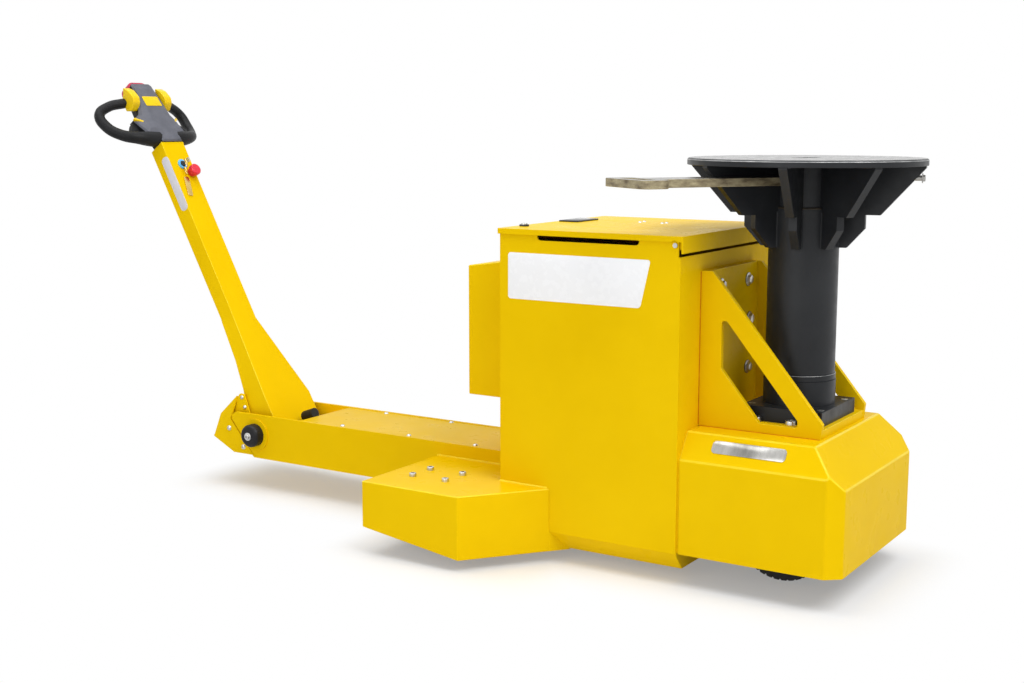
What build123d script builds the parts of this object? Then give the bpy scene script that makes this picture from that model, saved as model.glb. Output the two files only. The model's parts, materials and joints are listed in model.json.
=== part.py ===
"""Trailer mover: a pedestrian electric tug with a turning, lifting king-pin coupling.

The machine is drawn from the cabinet's front face: +X runs forward to the coupling, +Y to the
machine's left and +Z up from the floor. On export it is moved so that the origin lies on the
floor in the middle of its overall length.
"""
import os
from math import atan2, cos, degrees, hypot, radians, sin

from build123d import *

# Overall
MIDDLE_X = -820.0            # middle of the overall length, from the cabinet's front face
FLAT_GAP = 0.5               # between flat faces that move over each other
TURN_GAP = 0.3               # radial gap of turning and sliding fits
SHEET = 4.0                  # cabinet, nose and box sheet
PLATE = 10.0                 # boom plate
HOUSING = 8.0                # caster housing plate

# Battery cabinet and its belly pan
CABINET_LENGTH = 507.0
CABINET_HALF = 276.0
CABINET_BOTTOM = 83.0
CABINET_TOP = 853.0
PAN_BOTTOM = 35.0
PAN_INSET = 40.0
PAN_SHEET = 5.0
SLOT_ENDS = (111.0, 110.0)   # finger slot, in from the rear and front faces
SLOT_DROPS = (23.0, 8.0)     # its lower and upper edges, below the cabinet's top
SLOT_CORNER = 10.0
FRONT_DROP = 46.0            # how much lower the front wall ends, behind the lid's skirt
FRONT_NOTCH = 5.0
SWING_ROOM = (8.0, 6.0)      # side walls' step under the opening lid: behind the hinge pin, and down
BATTERY_ENDS = (37.0, 40.0)  # in from the rear and front faces
BATTERY_SIDE = 71.0
BATTERY_HEIGHT = 400.0

# Lid
LID_THICK = 4.0
LID_GAP = 2.0
LIP_DEPTH = 14.0
SKIRT_DEPTH = 41.0
SKIRT_GAP = 5.0
LID_CORNER = 6.0
LID_PIN_IN = 13.0            # hinge pin, behind the front face and below the cabinet's top
LID_PIN_DROP = 18.0
LID_PIN_RADIUS = 5.0
LID_PIN_HEAD = (6.0, 4.0)
LID_PIN_ROOM = 6.0
LID_EAR_RADIUS = 14.0
LID_EAR_THICK = 5.0
DISPLAY_SIZE = (60.0, 117.0, 4.0)
DISPLAY_AT = (35.0, 66.0)    # in from the rear face, and to the left of the middle
LOCK_AT = (19.0, 86.0)       # in from the rear and right faces
LOCK_RADIUS = 13.0
LOCK_HEIGHT = 5.0

# Control box behind the cabinet
BOX_DEPTH = 150.0
BOX_HALF = 200.0
BOX_BOTTOM = 400.0
BOX_DROPS = (84.0, 105.0)    # its roof in front and at the rear, below the cabinet's top

# Nose cover over the drive unit
NOSE_GAP = 3.0
NOSE_LENGTH = 409.0
NOSE_STEP = 4.0              # how far its sides lie inside the cabinet's
NOSE_BOTTOM = 82.5
NOSE_TOP = 382.5
NOSE_SIDE_BEVEL = (43.0, 64.9)
NOSE_FRONT_BEVEL = (80.0, 92.8)
NOSE_CORNER = (35.0, 30.0)

# Drive unit
DRIVE_RADIUS = 125.0
DRIVE_WIDTH = 60.0
DRIVE_TRACK = 62.0
DRIVE_HUB_RADIUS = 84.0
DRIVE_RIM = 10.0
TYRE_CROWN = 6.0
AXLE_RADIUS = 20.0
AXLE_END = 98.0
FRAME_PLATE = 12.0
FRAME_FRONT = 320.0
FRAME_SIDE = 72.0            # its sides, in from the nose cover's
CHEEK_IN = 20.0              # the cheeks' inner faces, in from the frame's sides
CHEEK_BOTTOM = 160.0
GEAR_HALF = 26.0
GEAR_RADIUS = 70.0
GEAR_TOP = 300.0
GEAR_LENGTH = 120.0
MOTOR_RADIUS = 46.0
MOTOR_RISE = 183.0           # motor's axis above the wheels' axle
MOTOR_REAR = 26.0
HANGER_GAP = 8.0             # between the motor's end and the gearbox hangers

# Mast bracket and mast, over the drive wheels' axle
MAST_X = 198.0
BRACKET_HALF = 158.0
BRACKET_PLATE = 20.0
BRACKET_SIDE = 14.0
BRACKET_RISE = 383.5
BRACKET_TOP_DEPTH = 30.0
BRACKET_TIP = (318.0, 36.1)  # gusset's front corner, and its height over the nose
BRACKET_FOOT = 314.0
WINDOW = ((56.0, 264.0), (57.0, 147.0), (159.0, 22.5), (256.0, 22.5), (256.0, 39.0), (70.0, 264.0))
WINDOW_ROUND = 6.0
FLANGE_SIZE = (206.0, 233.0)
FLANGE_THICK = 36.0
FLANGE_BOLTS = (88.0, 84.0)  # from the mast's axis, along and across
FLANGE_HOLE_RADIUS = 9.0
RING_RADIUS = 88.0
RING_HEIGHT = 61.5
POST_RADIUS = 70.0
POST_SEAT = 17.5
POST_SHORT = 37.0            # top of the post, below the top of the sleeve
WIPER_RADIUS = 87.0
WIPER_THICK = 14.5
SLEEVE_RADIUS = 85.0
SLEEVE_LENGTH = 402.0

# Coupling head, drawn from the sleeve's top with the lock bar straight back
HEAD_TURN = 55.3             # as it was left
HEAD_RISE = 121.0
PLATE_RADIUS = 286.0
PLATE_THICK = 17.0
PLATE_CHAMFER = 4.0
HOUSING_RADIUS = 78.6
KINGPIN_RADIUS = 38.0
KINGPIN_DEPTH = 84.0
RIB_COUNT = 8
RIB_THICK = 20.0
RIB_LOW = ((104.0, -94.0), (146.0, -47.0), (146.0, -14.0))
RIB_HIGH = ((181.0, -14.0), (282.0, 99.0))
BAR_DROP = 44.5              # top of the bar, below the plate's face
BAR_THICK = 20.0
BAR_HALF = 52.0
BAR_START = 40.0
BAR_GAP = 1.0
BAR_TRAVEL = 45.0
BAR_END_GAP = 6.0
HANDLE_START = 425.0
HANDLE_END = 499.0
HANDLE_HALF = 103.0
HANDLE_CORNER = 24.0
HANDLE_SLOT = (34.0, 136.0)
HANDLE_SLOT_ROUND = 16.0

# Boom, drawn from the tiller's pivot
BOOM_LENGTH = 993.0          # from the cabinet's rear face to the pivot
BOOM_HALF = 129.0
BOOM_BELOW = 73.0
BOOM_ABOVE = 62.5
COVER_THICK = 5.0
COVER_DROP = 1.5
COVER_RAMP = (170.0, 80.0, 32.0)
STOP_SPAN = (6.0, 57.0)      # rubber stop, up the ramp from its lower end
STOP_RADIUS = 17.0
STOP_RISE = 29.0
STOP_ROUND = 10.0
SEAM_LOW = (-13.0, -66.0)    # where boom plate and guard meet, at the bottom and at the top
SEAM_HIGH = (-106.0, 39.0)
SEAM_GAP = 2.0
GUARD_SHEET = 5.0
GUARD_BEND = (-93.0, -66.5)
GUARD_REAR = (-177.0, -25.0)
GUARD_LEAN = (16.0, 16.0, 71.0)   # rise of the leaning cheek: forward, inward and up
PIVOT_Z = 173.0
PIVOT_RADIUS = 20.0
PIVOT_BOSS = (50.0, 4.0)
KNOB_RADIUS = 35.0
KNOB_LENGTH = 32.0
KNOB_ROUND = 9.0

# Caster housings and casters, drawn from the cabinet's rear face
HOUSING_BACK = 305.0
HOUSING_FRONT = 2.5          # front end of the outer wall, behind that face
HOUSING_MEET = 150.5         # where the slanting wall meets the cabinet, in front of it
HOUSING_SIDE = 196.0         # out from the cabinet's side
HOUSING_TOP = 196.7
HOUSING_LOW = 30.4
HOUSING_LOW_REAR = 72.7
CASTER_BACK = 169.0
CASTER_SIDE = 44.0
CASTER_PLATE = (140.0, 110.0, 8.0)
CASTER_RACE = (42.0, 10.0)
CASTER_STEM = 10.0
CASTER_RADIUS = 75.0
CASTER_WIDTH = 46.0
CASTER_TRAIL = 46.0
CASTER_HUB_RADIUS = 52.0
CASTER_RIM = 8.0
CASTER_BOSS = 17.6
CASTER_AXLE = 8.0
FORK_PLATE = 6.0
FORK_GAP = 4.0
FORK_CROWN = 10.0
FORK_FRONT = 33.6
FORK_EYE = 20.0

# Tiller, drawn from its pivot
ARM_HALF = 48.0
FOOT_HALF = 100.0
ARM_SHEET = 5.0
FLARE_TOP = 333.0
FLARE_BOTTOM = 102.0
ARM_TOP_FRONT = (-449.0, 889.0)
ARM_KINK_FRONT = (-151.0, 333.0)
FOOT_FRONT = ((21.0, 102.0), (63.0, 27.0), (60.0, -3.0), (36.0, -39.0))
FOOT_REAR = ((-30.0, -43.0), (-48.0, -13.0), (-51.0, 53.0), (-80.0, 126.0), (-129.0, 212.0))
ARM_KINK_REAR = (-205.0, 322.0)
ARM_TOP_DEPTH = 57.0
BARREL_RADIUS = 40.0
ESTOP_AT = (518.0, 26.0)     # up the arm from its kink, and to the left of the middle
ESTOP_STEM = (14.0, 14.0)
ESTOP_CAP = (19.0, 16.0)
ESTOP_ROUND = 5.0
KEY_AT = (549.0, 2.0)
KEY_RING = (15.0, 5.0)
KEY_BARREL = (9.0, 9.0)

# Tiller head, in its own plane: y across, u up the head, n out of its face
HEAD_LEAN = 37.5
HEAD_OUTLINE = (
    (42.0, 0.0), (42.0, 30.0), (88.0, 42.0), (90.0, 70.0),
    (58.0, 96.0), (50.0, 160.0), (38.0, 212.0), (30.0, 222.0),
)
HEAD_FACE = 8.0
HEAD_SEAM = -16.0
HEAD_BACK = -46.0
HEAD_EDGE = 5.0
CORE_OUTLINE = (
    (42.0, 0.0), (46.0, 30.0), (62.0, 46.0), (56.0, 96.0),
    (46.0, 160.0), (36.0, 212.0), (30.0, 222.0),
)
GRIP_LINE = (
    (38.0, 171.0, -14.0), (135.0, 172.0, -44.0), (174.0, 150.0, -58.0), (175.0, 105.0, -57.0),
    (150.0, 58.0, -40.0), (112.0, 29.0, -16.0), (38.0, 24.0, -16.0),
)
GRIP_RADIUS = 16.0
GRIP_ROOT = 21.0             # radius to which its lower end swells at the head
PADDLE_ENDS = (58.0, 82.0)
PADDLE_OUTLINE = (
    (142.0, -34.0), (144.0, -8.0), (160.0, 10.0), (186.0, 12.0),
    (204.0, -2.0), (203.0, -28.0), (176.0, -48.0),
)
PADDLE_ROUND = 8.0
BUTTON_END = 236.0
BUTTON_HALF = 34.0
BUTTON_DEPTH = (-60.0, 3.0)
BUTTON_ROUND = 7.0

# Levels and places that follow
NOSE_HALF = CABINET_HALF - NOSE_STEP
FRAME_HALF = NOSE_HALF - FRAME_SIDE
CHEEK_OFFSET = FRAME_HALF - CHEEK_IN
MAST_FOOT = NOSE_TOP + BRACKET_PLATE
RING_TOP = MAST_FOOT + FLANGE_THICK + RING_HEIGHT
WIPER_TOP = RING_TOP + FLAT_GAP + WIPER_THICK
SLEEVE_TOP = WIPER_TOP + SLEEVE_LENGTH
PLATE_UNDER = HEAD_RISE - PLATE_THICK
BAR_TOP = HEAD_RISE - BAR_DROP
BAR_ROOM = (BAR_TOP - BAR_THICK - BAR_GAP, BAR_TOP + BAR_GAP)
LID_PIN = (-LID_PIN_IN, CABINET_TOP - LID_PIN_DROP)
HOUSING_OUT = CABINET_HALF + HOUSING_SIDE
CASTER_AT = (-CASTER_BACK, CABINET_HALF + CASTER_SIDE)
PIVOT = (0.0, 0.0)


def block(x, y, z):
    """A block between its low and high limits on each axis."""
    size = (x[1] - x[0], y[1] - y[0], z[1] - z[0])
    return Pos((x[0] + x[1]) / 2, (y[0] + y[1]) / 2, (z[0] + z[1]) / 2) * Box(*size)


def across(outline, y_low, y_high):
    """A side-view outline of (x, z) points, run from y_low to y_high."""
    face = Face(Wire.make_polygon([(x, y_low, z) for x, z in outline]))
    return extrude(face, amount=y_high - y_low, dir=(0, 1, 0))


def along(outline, x_low, x_high):
    """A front-view outline of (y, z) points, run from x_low to x_high."""
    face = Face(Wire.make_polygon([(x_low, y, z) for y, z in outline]))
    return extrude(face, amount=x_high - x_low, dir=(1, 0, 0))


def upward(outline, z_low, z_high):
    """A plan outline of (x, y) points, run from z_low to z_high."""
    face = Face(Wire.make_polygon([(x, y, z_low) for x, y in outline]))
    return extrude(face, amount=z_high - z_low, dir=(0, 0, 1))


def rod_z(x, y, radius, z_low, z_high):
    return Pos(x, y, (z_low + z_high) / 2) * Cylinder(radius, z_high - z_low)


def rod_y(x, z, radius, y_low, y_high):
    return Pos(x, (y_low + y_high) / 2, z) * Rot(90, 0, 0) * Cylinder(radius, y_high - y_low)


def inset(outline, amount):
    """The outline's corners moved inward by an amount along both edges' normals."""
    area = sum(a[0] * b[1] - b[0] * a[1] for a, b in zip(outline, outline[1:] + outline[:1]))
    side = 1.0 if area > 0 else -1.0
    moved = []
    for before, here, after in zip(outline[-1:] + outline[:-1], outline, outline[1:] + outline[:1]):
        normals = []
        for start, end in ((before, here), (here, after)):
            length = hypot(end[0] - start[0], end[1] - start[1])
            normals.append((-side * (end[1] - start[1]) / length, side * (end[0] - start[0]) / length))
        (ax, ay), (bx, by) = normals
        share = amount / (1 + ax * bx + ay * by)
        moved.append((here[0] + share * (ax + bx), here[1] + share * (ay + by)))
    return moved


def mirrored(shape):
    """The same piece on the machine's other side."""
    return mirror(shape, about=Plane.XZ)


def sides(low, high):
    """The left and right spans of a pair of plates, each from its lower y to its higher."""
    return ((low, high), (-high, -low))


def at_rear(shape):
    """A piece drawn from the cabinet's rear face, in its place."""
    return Pos(-CABINET_LENGTH, 0, 0) * shape


def at_pivot(shape):
    """A piece drawn from the tiller's pivot, in its place."""
    return Pos(-CABINET_LENGTH - BOOM_LENGTH, 0, PIVOT_Z) * shape


def at_head(shape):
    """A coupling piece drawn from the sleeve's top, in its place and turned as it was left."""
    return Pos(MAST_X, 0, SLEEVE_TOP) * Rot(0, 0, HEAD_TURN) * shape


def belly_pan():
    """Tray under the cabinet with sloping sides, open at the top."""
    rim = CABINET_HALF
    floor = CABINET_HALF - PAN_INSET
    slope = PAN_INSET / (CABINET_BOTTOM - PAN_BOTTOM)
    side = PAN_SHEET * hypot(1, slope)
    outer = [(-rim, CABINET_BOTTOM), (-floor, PAN_BOTTOM), (floor, PAN_BOTTOM), (rim, CABINET_BOTTOM)]
    inner_floor = floor + slope * PAN_SHEET - side
    inner = [(-rim + side, CABINET_BOTTOM), (-inner_floor, PAN_BOTTOM + PAN_SHEET)]
    inner += [(-y, z) for y, z in reversed(inner)]
    tray = along(outer, -CABINET_LENGTH, 0)
    return tray - along(inner, -CABINET_LENGTH + PAN_SHEET, -PAN_SHEET)


def cabinet_walls():
    """Four sheet walls, with the finger slot under the lid and a low front wall."""
    top = CABINET_TOP - FLAT_GAP
    front_top = CABINET_TOP - FRONT_DROP
    walls = block((-CABINET_LENGTH, 0), (-CABINET_HALF, CABINET_HALF), (CABINET_BOTTOM, top))
    inside = CABINET_HALF - SHEET
    walls -= block((-CABINET_LENGTH + SHEET, -SHEET), (-inside, inside), (CABINET_BOTTOM, top))
    walls -= block((-SHEET, 0), (-inside, inside), (front_top, top))
    walls -= block((-FRONT_NOTCH, 0), (-CABINET_HALF, CABINET_HALF), (front_top, top))
    step_back, step_down = SWING_ROOM
    walls -= block((LID_PIN[0] - step_back, 0), (-CABINET_HALF, CABINET_HALF), (top - step_down, top))
    slot_x = (-CABINET_LENGTH + SLOT_ENDS[0], -SLOT_ENDS[1])
    slot_z = (CABINET_TOP - SLOT_DROPS[0], CABINET_TOP - SLOT_DROPS[1])
    slot = block(slot_x, (-CABINET_HALF, -inside), slot_z)
    lower = slot.edges().filter_by(Axis.Y).group_by(Axis.Z)[0]
    walls -= fillet(lower, SLOT_CORNER)
    for span in sides(inside, CABINET_HALF):
        walls -= rod_y(*LID_PIN, LID_PIN_RADIUS, *span)
    return walls


def battery_pack():
    floor = PAN_BOTTOM + PAN_SHEET
    half = CABINET_HALF - BATTERY_SIDE
    ends = (-CABINET_LENGTH + BATTERY_ENDS[0], -BATTERY_ENDS[1])
    return block(ends, (-half, half), (floor, floor + BATTERY_HEIGHT))


def lid_pins():
    """Headed pins through the side walls that carry the lid's ears."""
    head_radius, head = LID_PIN_HEAD
    inner = CABINET_HALF - SHEET - LID_GAP - LID_EAR_THICK
    pin = rod_y(*LID_PIN, LID_PIN_RADIUS, inner, CABINET_HALF)
    pin += rod_y(*LID_PIN, head_radius, CABINET_HALF, CABINET_HALF + head)
    return Compound([pin, mirrored(pin)])


def lid_panel():
    """Folded lid: a flat top, short lips on three sides, a deep skirt in front and two ears."""
    out = CABINET_HALF + LID_GAP + LID_THICK
    rear = -CABINET_LENGTH - LID_GAP - LID_THICK
    front = SKIRT_GAP + LID_THICK
    top = CABINET_TOP + LID_THICK
    lip = top - LIP_DEPTH
    lid = block((rear, front), (-out, out), (lip, top))
    lid = fillet(lid.edges().filter_by(Axis.Z).group_by(Axis.X)[0], LID_CORNER)
    lid += block((SKIRT_GAP, front), (-out, out), (top - SKIRT_DEPTH, top))
    inner = CABINET_HALF + LID_GAP
    lid -= block((-CABINET_LENGTH - LID_GAP, SKIRT_GAP), (-inner, inner), (lip, CABINET_TOP))
    ear_out = CABINET_HALF - SHEET - LID_GAP
    ear_in = ear_out - LID_EAR_THICK
    x, z = LID_PIN
    ear = rod_y(x, z, LID_EAR_RADIUS, ear_in, ear_out)
    ear += block((x - LID_EAR_RADIUS, x + LID_EAR_RADIUS), (ear_in, ear_out), (z, CABINET_TOP))
    ear -= rod_y(x, z, LID_PIN_RADIUS + TURN_GAP, ear_in, ear_out)
    lid += ear
    lid += mirrored(ear)
    # room for the pin heads where the side lips pass over them
    relief = rod_y(x, z, LID_PIN_HEAD[0] + LID_PIN_ROOM, CABINET_HALF, out)
    lid -= relief
    lid -= mirrored(relief)
    return lid


def lid_display():
    length, width, thick = DISPLAY_SIZE
    top = CABINET_TOP + LID_THICK
    plate = Pos(DISPLAY_AT[0], DISPLAY_AT[1], top + thick / 2) * Box(length, width, thick)
    return at_rear(fillet(plate.edges().filter_by(Axis.Z), thick))


def lid_lock():
    top = CABINET_TOP + LID_THICK
    cap = rod_z(LOCK_AT[0], LOCK_AT[1] - CABINET_HALF, LOCK_RADIUS, top, top + LOCK_HEIGHT)
    return at_rear(chamfer(cap.edges().group_by(Axis.Z)[-1], LOCK_HEIGHT / 3))


def rear_box():
    """Control box on the cabinet's rear wall, with a roof that falls to the rear."""
    roof_front, roof_rear = (CABINET_TOP - drop for drop in BOX_DROPS)
    outer = [(0, BOX_BOTTOM), (0, roof_front), (-BOX_DEPTH, roof_rear), (-BOX_DEPTH, BOX_BOTTOM)]
    inner = inset(outer, SHEET)
    half = BOX_HALF - SHEET
    shell = across(outer, -BOX_HALF, BOX_HALF) - across(inner, -half, half)
    return at_rear(shell - block((-SHEET, 0), (-half, half), (inner[0][1], inner[1][1])))


def nose_form(shrink):
    """The nose's outside, or its inside for a sheet's thickness, run on below and behind."""
    side_in, side_high = NOSE_SIDE_BEVEL
    front_in, front_high = NOSE_FRONT_BEVEL
    corner_x, corner_y = NOSE_CORNER
    half, top, front = NOSE_HALF, NOSE_TOP, NOSE_LENGTH
    back, under = -NOSE_BOTTOM, 0.0
    ends = [(half, under), (half, top - side_high), (half - side_in, top)]
    ends += [(-y, z) for y, z in reversed(ends)]
    sides = [(back, under), (front, under), (front, top - front_high), (front - front_in, top), (back, top)]
    plan = [(back, -half), (front - corner_x, -half), (front, -half + corner_y)]
    plan += [(x, -y) for x, y in reversed(plan)]
    form = along(inset(ends, shrink), back, front)
    form &= across(inset(sides, shrink), -half, half)
    return form & upward(inset(plan, shrink), under, top)


def nose_cover():
    shell = nose_form(0) - nose_form(SHEET)
    return shell & block((NOSE_GAP, NOSE_LENGTH), (-NOSE_HALF, NOSE_HALF), (NOSE_BOTTOM, NOSE_TOP))


def drive_frame():
    """Welded table under the mast: top and rear plates, two cheeks and the gearbox hangers."""
    top = NOSE_TOP - SHEET
    under = top - FRAME_PLATE
    frame = block((0, FRAME_FRONT), (-FRAME_HALF, FRAME_HALF), (under, top))
    frame += block((0, FRAME_PLATE), (-FRAME_HALF, FRAME_HALF), (CHEEK_BOTTOM, top))
    cheek = [(0, CHEEK_BOTTOM), (FRAME_FRONT / 2, CHEEK_BOTTOM), (FRAME_FRONT, under), (0, under)]
    hanger = (MAST_X + HANGER_GAP, MAST_X + GEAR_LENGTH / 2)
    for span in sides(CHEEK_OFFSET, CHEEK_OFFSET + FRAME_PLATE):
        frame += across(cheek, *span)
    for span in sides(GEAR_HALF - FRAME_PLATE, GEAR_HALF):
        frame += block(hanger, span, (GEAR_TOP, under))
    return frame


def transaxle():
    """Gearbox between the drive wheels, its motor high at the rear and the axle through it."""
    unit = rod_y(MAST_X, DRIVE_RADIUS, GEAR_RADIUS, -GEAR_HALF, GEAR_HALF)
    upper = (MAST_X - GEAR_LENGTH / 2, MAST_X + GEAR_LENGTH / 2)
    unit += block(upper, (-GEAR_HALF, GEAR_HALF), (DRIVE_RADIUS, GEAR_TOP))
    length = MAST_X - MOTOR_REAR
    motor = Rot(0, 90, 0) * Cylinder(MOTOR_RADIUS, length)
    unit += Pos(MOTOR_REAR + length / 2, 0, DRIVE_RADIUS + MOTOR_RISE) * motor
    return unit + rod_y(MAST_X, DRIVE_RADIUS, AXLE_RADIUS, -AXLE_END, AXLE_END)


def wheel_ring(x, y, z, profile):
    """A ring about a cross axle, from (radius, offset) points of its section."""
    face = Face(Wire.make_polygon([(x + radius, y + side, z) for radius, side in profile]))
    return revolve(face, Axis((x, y, z), (0, 1, 0)), 360)


def drive_tyre(side):
    half = DRIVE_WIDTH / 2
    bead, crown = DRIVE_RADIUS - TYRE_CROWN, DRIVE_RADIUS
    profile = [(DRIVE_HUB_RADIUS, -half), (bead, -half), (crown, -half + TYRE_CROWN)]
    profile += [(radius, -y) for radius, y in reversed(profile)]
    return wheel_ring(MAST_X, side * DRIVE_TRACK, DRIVE_RADIUS, profile)


def drive_hub(side):
    """Dished hub: a thick boss on the axle, a thin web and a rim."""
    half = DRIVE_WIDTH / 2
    bore = AXLE_RADIUS + TURN_GAP
    web, rim, boss = half / 3, DRIVE_HUB_RADIUS - DRIVE_RIM, 2 * AXLE_RADIUS
    profile = [(bore, -half), (boss, -half), (boss, -web)]
    profile += [(rim, -web), (rim, -half), (DRIVE_HUB_RADIUS, -half)]
    profile += [(radius, -y) for radius, y in reversed(profile)]
    return wheel_ring(MAST_X, side * DRIVE_TRACK, DRIVE_RADIUS, profile)


def mast_bracket():
    """Base plate, back plate and two pierced gussets."""
    tip_front, tip_rise = BRACKET_TIP
    half = BRACKET_HALF
    bracket = block((0, BRACKET_FOOT), (-half, half), (0, BRACKET_PLATE))
    bracket += block((0, BRACKET_PLATE), (-half, half), (0, BRACKET_RISE))
    gusset = [(0, 0), (BRACKET_FOOT, 0), (tip_front, tip_rise)]
    gusset += [(BRACKET_TOP_DEPTH, BRACKET_RISE), (0, BRACKET_RISE)]
    for span in sides(half - BRACKET_SIDE, half):
        bracket += across(gusset, *span)
    window = across(WINDOW, -half, half)
    corners = window.edges().filter_by(Axis.Y)
    ends = corners.group_by(Axis.Z)[-1] + corners.group_by(Axis.X)[-1]
    return Pos(0, 0, NOSE_TOP) * (bracket - fillet(ends, WINDOW_ROUND))


def mast_base():
    """Square foot with corner holes and the ring that the post turns in."""
    base = Pos(0, 0, FLANGE_THICK / 2) * Box(*FLANGE_SIZE, FLANGE_THICK)
    top = FLANGE_THICK + RING_HEIGHT
    base += rod_z(0, 0, RING_RADIUS, FLANGE_THICK, top)
    base -= rod_z(0, 0, POST_RADIUS + TURN_GAP, POST_SEAT, top)
    for along_side in (-1, 1):
        for across_side in (-1, 1):
            x, y = along_side * FLANGE_BOLTS[0], across_side * FLANGE_BOLTS[1]
            base -= rod_z(x, y, FLANGE_HOLE_RADIUS, 0, FLANGE_THICK)
    return Pos(MAST_X, 0, MAST_FOOT) * base


def mast_post():
    return rod_z(MAST_X, 0, POST_RADIUS, MAST_FOOT + POST_SEAT + FLAT_GAP, SLEEVE_TOP - POST_SHORT)


def mast_wiper():
    ring = rod_z(MAST_X, 0, WIPER_RADIUS, RING_TOP + FLAT_GAP, WIPER_TOP)
    return ring - rod_z(MAST_X, 0, POST_RADIUS + TURN_GAP, RING_TOP, WIPER_TOP)


def mast_sleeve():
    """Tube that lifts on the post and carries the head."""
    sleeve = rod_z(0, 0, SLEEVE_RADIUS, -SLEEVE_LENGTH, 0)
    return at_head(sleeve - rod_z(0, 0, POST_RADIUS + TURN_GAP, -SLEEVE_LENGTH, 0))


def head_ribs():
    """Stepped radial ribs, welded to sleeve and housing, with room for the lock bar."""
    foot, tip = RIB_LOW[0][1], RIB_HIGH[-1][0]
    outline = [(0, foot), *RIB_LOW, *RIB_HIGH, (tip, PLATE_UNDER), (0, PLATE_UNDER)]
    taken = rod_z(0, 0, SLEEVE_RADIUS, foot, 0) + rod_z(0, 0, HOUSING_RADIUS, 0, PLATE_UNDER)
    taken += block((-HANDLE_END, 0), (-BAR_HALF - BAR_GAP, BAR_HALF + BAR_GAP), BAR_ROOM)
    ribs = []
    for rib in range(RIB_COUNT):
        plate = Rot(0, 0, rib * 360 / RIB_COUNT) * across(outline, -RIB_THICK / 2, RIB_THICK / 2)
        ribs += (plate - taken).solids()
    return at_head(Compound(ribs))


def kingpin_housing():
    """Socket for the king pin, with a slot through its wall for the lock bar."""
    housing = rod_z(0, 0, HOUSING_RADIUS, 0, PLATE_UNDER)
    housing -= rod_z(0, 0, KINGPIN_RADIUS, PLATE_UNDER - KINGPIN_DEPTH, PLATE_UNDER)
    inner_end = BAR_TRAVEL - BAR_START + BAR_END_GAP
    housing -= block((-HOUSING_RADIUS, inner_end), (-BAR_HALF - BAR_GAP, BAR_HALF + BAR_GAP), BAR_ROOM)
    return at_head(housing)


def coupling_plate():
    plate = rod_z(0, 0, PLATE_RADIUS, PLATE_UNDER, HEAD_RISE)
    plate = chamfer(plate.edges().group_by(Axis.Z)[-1], PLATE_CHAMFER)
    return at_head(plate - rod_z(0, 0, KINGPIN_RADIUS, PLATE_UNDER, HEAD_RISE))


def lock_bar():
    """Flat bar with a hand slot in its wide end."""
    level = (BAR_TOP - BAR_THICK, BAR_TOP)
    bar = block((-HANDLE_END, -HANDLE_START), (-HANDLE_HALF, HANDLE_HALF), level)
    bar = fillet(bar.edges().filter_by(Axis.Z), HANDLE_CORNER)
    bar += block((-HANDLE_START - HANDLE_CORNER, -BAR_START), (-BAR_HALF, BAR_HALF), level)
    slot_x, slot_y = HANDLE_SLOT
    middle = -(HANDLE_START + HANDLE_END) / 2
    slot = block((middle - slot_x / 2, middle + slot_x / 2), (-slot_y / 2, slot_y / 2), level)
    bar -= fillet(slot.edges().filter_by(Axis.Z), HANDLE_SLOT_ROUND)
    return at_head(bar)


def boom_beam():
    """Two side plates with rounded rear ends, joined by a floor plate."""
    inner = BOOM_HALF - PLATE
    low, high = -BOOM_BELOW, BOOM_ABOVE
    beam = block((SEAM_LOW[0], BOOM_LENGTH), (-inner, inner), (low, low + PLATE))
    boss_radius, boss = PIVOT_BOSS
    low_end = SEAM_LOW[0] + SEAM_GAP
    forward, _, up = GUARD_LEAN
    high_end = SEAM_HIGH[0] + SEAM_GAP + forward * (high - SEAM_HIGH[1]) / up
    outline = [(BOOM_LENGTH, low), (low_end, low), (low_end, SEAM_LOW[1])]
    outline += [(high_end, SEAM_HIGH[1]), (high_end, high), (BOOM_LENGTH, high)]
    for span in sides(inner, BOOM_HALF):
        side = across(outline, *span)
        rear_top = side.edges().filter_by(Axis.Y).group_by(Axis.X)[0].sort_by(Axis.Z)[-1]
        beam += fillet(rear_top, high - SEAM_HIGH[1] - SEAM_GAP)
    for span in sides(BOOM_HALF, BOOM_HALF + boss):
        beam += rod_y(*PIVOT, boss_radius, *span)
    for span in sides(inner, BOOM_HALF + boss):
        beam -= rod_y(*PIVOT, PIVOT_RADIUS + TURN_GAP, *span)
    return at_pivot(beam)


def boom_cover():
    """Lid plate between the boom's sides, with a ramp down to the tiller's foot."""
    ramp_top, ramp_end, fall = COVER_RAMP
    top = BOOM_ABOVE - COVER_DROP
    upper = [(BOOM_LENGTH, top), (ramp_top, top), (ramp_end, top - fall)]
    lower = [(x, z - COVER_THICK) for x, z in reversed(upper)]
    half = BOOM_HALF - PLATE - TURN_GAP
    return at_pivot(across(upper + lower, -half, half))


def tiller_stop():
    """Rubber stop lying on the cover's ramp, its round end towards the tiller's foot."""
    ramp_top, ramp_end, fall = COVER_RAMP
    slope = degrees(atan2(fall, ramp_top - ramp_end))
    low, high = STOP_SPAN
    buffer = Rot(0, 90, 0) * Cylinder(STOP_RADIUS, high - low)
    buffer = Pos((low + high) / 2, 0, STOP_RISE - STOP_RADIUS) * buffer
    buffer = fillet(buffer.edges().group_by(Axis.X)[0], STOP_ROUND)
    buffer -= block(STOP_SPAN, (-STOP_RADIUS, STOP_RADIUS), (-STOP_RADIUS, 0))
    return at_pivot(Pos(ramp_end, 0, BOOM_ABOVE - COVER_DROP - fall) * Rot(0, -slope, 0) * buffer)


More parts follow.
